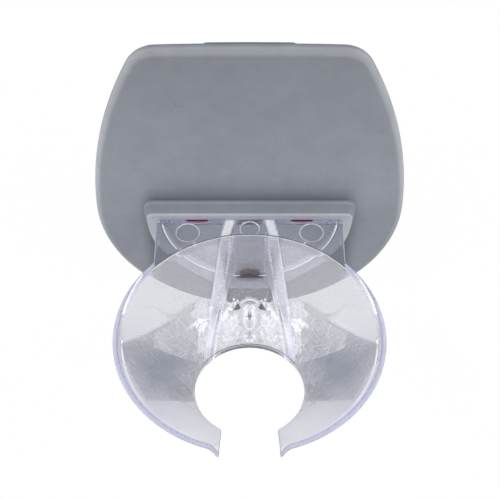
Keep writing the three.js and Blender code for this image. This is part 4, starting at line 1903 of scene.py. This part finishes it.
    def _dark_edges(self, points: Array, spread: Array) -> Array:
        """Offset from the nearest line of painted shade along an edge: of the stem hole, slot, plug and
        bowl.

        Args:
            points: Surface points as rows.
            spread: Their distances from the bowl's axis.

        Returns:
            Signed offset of each point, large where there is none.
        """
        x, y, z = points.T
        hole_reach, hole_foot = self.hole_zone
        in_hole = (spread < self.hole_radius + hole_reach) & (z > -self.depth + hole_foot)
        slot_reach, slot_start = self.slot_zone
        in_slot = (np.abs(x) < self.slot_half_width + slot_reach) & (y < self.centre)
        in_slot &= spread > self.hole_radius + slot_start
        on_plug = (np.abs(y - self.plug_front) < self.plug_shadow_reach) & (z < -self.web_thickness)
        plug_edge = np.hypot(x, z) - self.layers.plug_radius - self.plug_shadow
        return nearest_line([
            (in_hole, z + self.depth - self.hole_edge),
            (in_slot, np.abs(x) - self.slot_half_width),
            (on_plug, plug_edge / self.plug_line_wider),
            (self._over_web(x, y) & (z > -self.rim_zone),
             spread - self.rim_radius + self.rim_land + z - self.bowl_shadow),
        ], len(points))

    def build(self) -> Piece:
        """Builds and dresses the cradle.

        Returns:
            The cradle's object.
        """
        margin = 2 * self.cell
        half = math.ceil((self.rim_radius + margin) / self.cell) * self.cell
        front = math.ceil((self.rim_radius + self.flare + margin) / self.cell) * self.cell
        low = (-half, self.centre - front, -self.depth - margin)
        high = (half, self.layers.pad_front + margin, margin)
        points, faces = surface_net(self.field, low, high, self.cell)
        step = self.cell / 2
        points = settled(self.field, points, step)
        for _ in range(self.evening_rounds):
            points = settled(self.field, evened(self.field, points, faces, step), step)
        normals = normals_of(self.field, points)
        cradle = mesh_piece("clear_cradle", points, faces, Shading.SMOOTH, normals)
        for zone, shares in self.zones(points).items():
            attribute = cradle.data.attributes.new(zone.value, "FLOAT", "POINT")
            attribute.data.foreach_set("value", shares.astype(np.float32))
        # clear plastic lets the lamps' light through to what lies behind it
        cradle.visible_shadow = False
        return dress(cradle, self.finish.material(), Body.CRADLE, "glass_cradle")


@dataclass
class CorePlate:
    """The stiff plate behind the pad, whose CAD solid is carried over."""

    node: str = "core_plate"
    finish: MouldedPlastic = MouldedPlastic(
        "polypropylene_pale_moulded_matt", "#c9ccd2", "#bfc3ca", roughness=0.5)

    def dress(self) -> None:
        """Gives the carried-over solid its finish."""
        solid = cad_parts[self.node]
        solid.data.materials.clear()
        solid.data.materials.append(self.finish.material())
        log.info("%s: carried over", self.node)


@dataclass
class SoftBox:
    """A flat lamp of even brightness, 1 being as bright as the white floor, placed in metres."""

    name: str
    place: tuple[float, float, float]
    width: float
    height: float
    facing: tuple[float, float, float]
    lean: float
    brightness: float

    def build(self) -> None:
        """Adds the lamp, upright in its plane and then leaning sideways."""
        light = bpy.data.lights.new(self.name, "AREA")
        light.shape = "RECTANGLE"
        light.size, light.size_y = self.width, self.height
        light.energy = math.pi * self.width * self.height * self.brightness
        lamp = bpy.data.objects.new(self.name, light)
        turn = Vector(self.facing).to_track_quat("-Z", "Y").to_matrix()
        lamp.matrix_world = Matrix.LocRotScale(
            Vector(self.place), turn @ Matrix.Rotation(self.lean, 3, "Z"), Vector((1.0, 1.0, 1.0)))
        bpy.context.scene.collection.objects.link(lamp)


@dataclass
class Studio:
    """White floor, soft boxes and the camera at the photograph's place.

    The photographed part leans back on its table, so its boxes stand leaning in the frame of the part.
    Places and sizes are in metres here.
    """

    floor_height: float = -0.0635
    floor_half_width: float = 6.0
    shadow_share: float = 0.04
    surroundings: float = 0.25
    surroundings_through: float = 0.8
    surroundings_mirrored: float = 0.12
    floor_mirrored: float = 0.86
    floor_through: tuple[float, float] = (0.42, 0.52)
    shade_from: tuple[float, float] = (-0.036, -0.008)
    floor_end: float = -0.002
    floor_end_run: float = 0.002
    light_bounces: int = 24
    eye: tuple[float, float, float] = (0.00015, -0.3804, 0.43075)
    eye_tilt: float = math.radians(39.43)
    focal_length: float = 105.14
    sensor_width: float = 36.0
    box_lean: float = math.radians(20.25)
    box_aside: float = 0.9
    box_edge: tuple[float, float] = (-0.087, 0.131)
    box_ends: tuple[float, float] = (-2.1, 0.9)
    box_height: float = 1.4
    box_brightness: float = 2.1
    skirt_height: float = 0.06
    skirt_brightness: float = 0.5
    boxes: tuple[SoftBox, ...] = field(init=False)

    def __post_init__(self) -> None:
        """Places a long soft box with a dim skirt on each side, its lower edge through a point there."""
        sine, cosine = math.sin(self.box_lean), math.cos(self.box_lean)
        middle = sum(self.box_ends) / 2
        edge_z = self.box_edge[1] - (middle - self.box_edge[0]) * sine / cosine
        length = (self.box_ends[1] - self.box_ends[0]) / cosine
        self.boxes = tuple(
            SoftBox(f"{name}_{part}",
                    (side * self.box_aside, middle + sine * rise, edge_z + cosine * rise),
                    length, height, (-side, 0, 0), -side * self.box_lean, brightness)
            for name, side in (("left", -1), ("right", 1))
            for part, rise, height, brightness in (
                ("box", self.box_height / 2, self.box_height, self.box_brightness),
                ("skirt", -self.skirt_height / 2, self.skirt_height, self.skirt_brightness)))

    def build(self) -> None:
        """Builds the whole studio."""
        scene = bpy.context.scene
        scene.view_settings.view_transform = "Standard"
        scene.cycles.max_bounces = self.light_bounces
        scene.cycles.glossy_bounces = self.light_bounces
        scene.cycles.transmission_bounces = self.light_bounces
        self.build_floor()
        self.build_world()
        for box in self.boxes:
            box.build()
        self.build_camera()
        log.info("studio: %d soft boxes", len(self.boxes))

    def brightness(self, tree: Tree, plain: float, through: Signal, mirrored: Signal) -> Signal:
        """How bright the background is for each kind of ray, always white for the eye.

        Args:
            tree: Node tree that uses it.
            plain: Brightness for rays that light the object.
            through: Brightness for what is seen through the plastic.
            mirrored: Brightness for what its surfaces mirror.

        Returns:
            The brightness.
        """
        path = add_node(tree, "LightPath").outputs
        once = add_node(tree, "Math", {0: path["Glossy Depth"], 1: 1.0}, operation="MINIMUM")
        level: Signal = plain
        for ray, own in (
                (path["Is Transmission Ray"], through), (once, mirrored), (path["Is Camera Ray"], 1.0)):
            level = add_node(tree, "MapRange", {"Value": ray, "To Min": level, "To Max": own})
        return level

    def build_floor(self) -> None:
        """Adds a lit white floor that keeps a faint shadow.

        Through the plastic it looks greyer, with painted shade that deepens under the cradle, and in what
        the plastic mirrors, painted shade darkens it behind the pad.
        """
        material, tree = new_material("paper_white_matt_floor")
        place = add_node(tree, "TexCoord").outputs["Object"]
        depth = add_node(tree, "SeparateXYZ", {"Vector": place}).outputs["Y"]
        # painted shade for what is seen through the plastic, deepest under the cradle
        shaded = add_node(tree, "MapRange", {
            "Value": depth, "From Min": self.shade_from[0], "From Max": self.shade_from[1],
            "To Min": self.floor_through[0],
            "To Max": self.floor_through[1]}, interpolation_type="SMOOTHSTEP")
        # painted shade in what the plastic mirrors, past the pad's back
        mirrored = add_node(tree, "MapRange", {
            "Value": depth, "From Min": self.floor_end - self.floor_end_run, "From Max": self.floor_end,
            "To Min": self.floor_mirrored, "To Max": self.surroundings_mirrored})
        level = self.brightness(tree, 1.0, shaded, mirrored)
        paper = add_node(tree, "BsdfDiffuse", {"Color": linear("#f4f4f4")})
        white = add_node(tree, "Emission", {"Color": linear("#ffffff"), "Strength": level})
        mixed = add_node(tree, "MixShader", {0: 1 - self.shadow_share, 1: paper, 2: white})
        add_node(tree, "OutputMaterial", {"Surface": mixed})
        half = self.floor_half_width / MM
        corners = np.array([(-half, -half), (half, -half), (half, half), (-half, half)])
        points = np.column_stack([corners, np.full(len(corners), self.floor_height / MM)])
        floor = mesh_piece("paper_floor", points, [[0, 1, 2, 3]], Shading.SMOOTH)
        floor.data.materials.append(material)

    def build_world(self) -> None:
        """Surrounds the scene with soft grey light that the camera sees as white."""
        world = bpy.data.worlds.new("studio_light")
        world.use_nodes = True
        tree = world.node_tree
        tree.nodes.clear()
        level = self.brightness(
            tree, self.surroundings, self.surroundings_through, self.surroundings_mirrored)
        white = add_node(tree, "Background", {"Color": linear("#ffffff"), "Strength": level})
        add_node(tree, "OutputWorld", {"Surface": white})
        bpy.context.scene.world = world

    def build_camera(self) -> None:
        """Adds the camera."""
        data = bpy.data.cameras.new("eye")
        data.sensor_width = self.sensor_width
        data.lens = self.focal_length
        camera = bpy.data.objects.new("eye", data)
        camera.location = self.eye
        camera.rotation_euler = (self.eye_tilt, 0.0, 0.0)
        bpy.context.scene.collection.objects.link(camera)
        bpy.context.scene.camera = camera


@dataclass
class WineGlassHolder:
    """The whole object: pad, sheet, core, keys and cradle."""

    layers: Layers = Layers()
    outline: PadOutline = field(default_factory=PadOutline)
    key_x: float = 20.4
    upper_key_width: float = 8.4
    upper_key_rise: float = 2.0
    key_seat: float = 0.6
    key_drop: float = 0.4
    key_finish: MouldedPlastic = MouldedPlastic("polypropylene_wine_red_moulded_satin", "#7a2c50", "#6c2446")
    # the bottom key is the same wine red with painted shade, for it sits in the plug's shade
    lower_key_finish: MouldedPlastic = MouldedPlastic(
        "polypropylene_wine_red_painted_shade_moulded_satin", "#3a0a2a", "#300822")

    def keys(self) -> list[LockKey]:
        """The three lock keys, two under the lip and one at the bottom.

        Returns:
            The keys.
        """
        under_lip = self.layers.clearance - self.key_drop
        bottom = -self.layers.plug_radius - self.layers.clearance - self.key_seat
        return [
            *(LockKey(place, x, under_lip, -1, self.layers, self.upper_key_width, self.upper_key_rise)
              for place, x in (("left", -self.key_x), ("right", self.key_x))),
            LockKey("bottom", 0.0, bottom, 1, self.layers),
        ]

    def build(self) -> None:
        """Builds every piece in order."""
        keys = self.keys()
        SiliconePad(self.layers, self.outline, keys).build()
        WallSheet(self.layers, self.outline).build()
        CorePlate().dress()
        red, shaded_red = self.key_finish.material(), self.lower_key_finish.material()
        for key in keys:
            key.build(shaded_red if key.tip > 0 else red)
        ClearCradle(self.layers, keys).build()


def main() -> None:
    """Builds the holder and its studio."""
    logging.basicConfig(level=logging.INFO, format="%(name)s: %(message)s")
    WineGlassHolder().build()
    Studio().build()


if __name__ == "__main__":
    main()
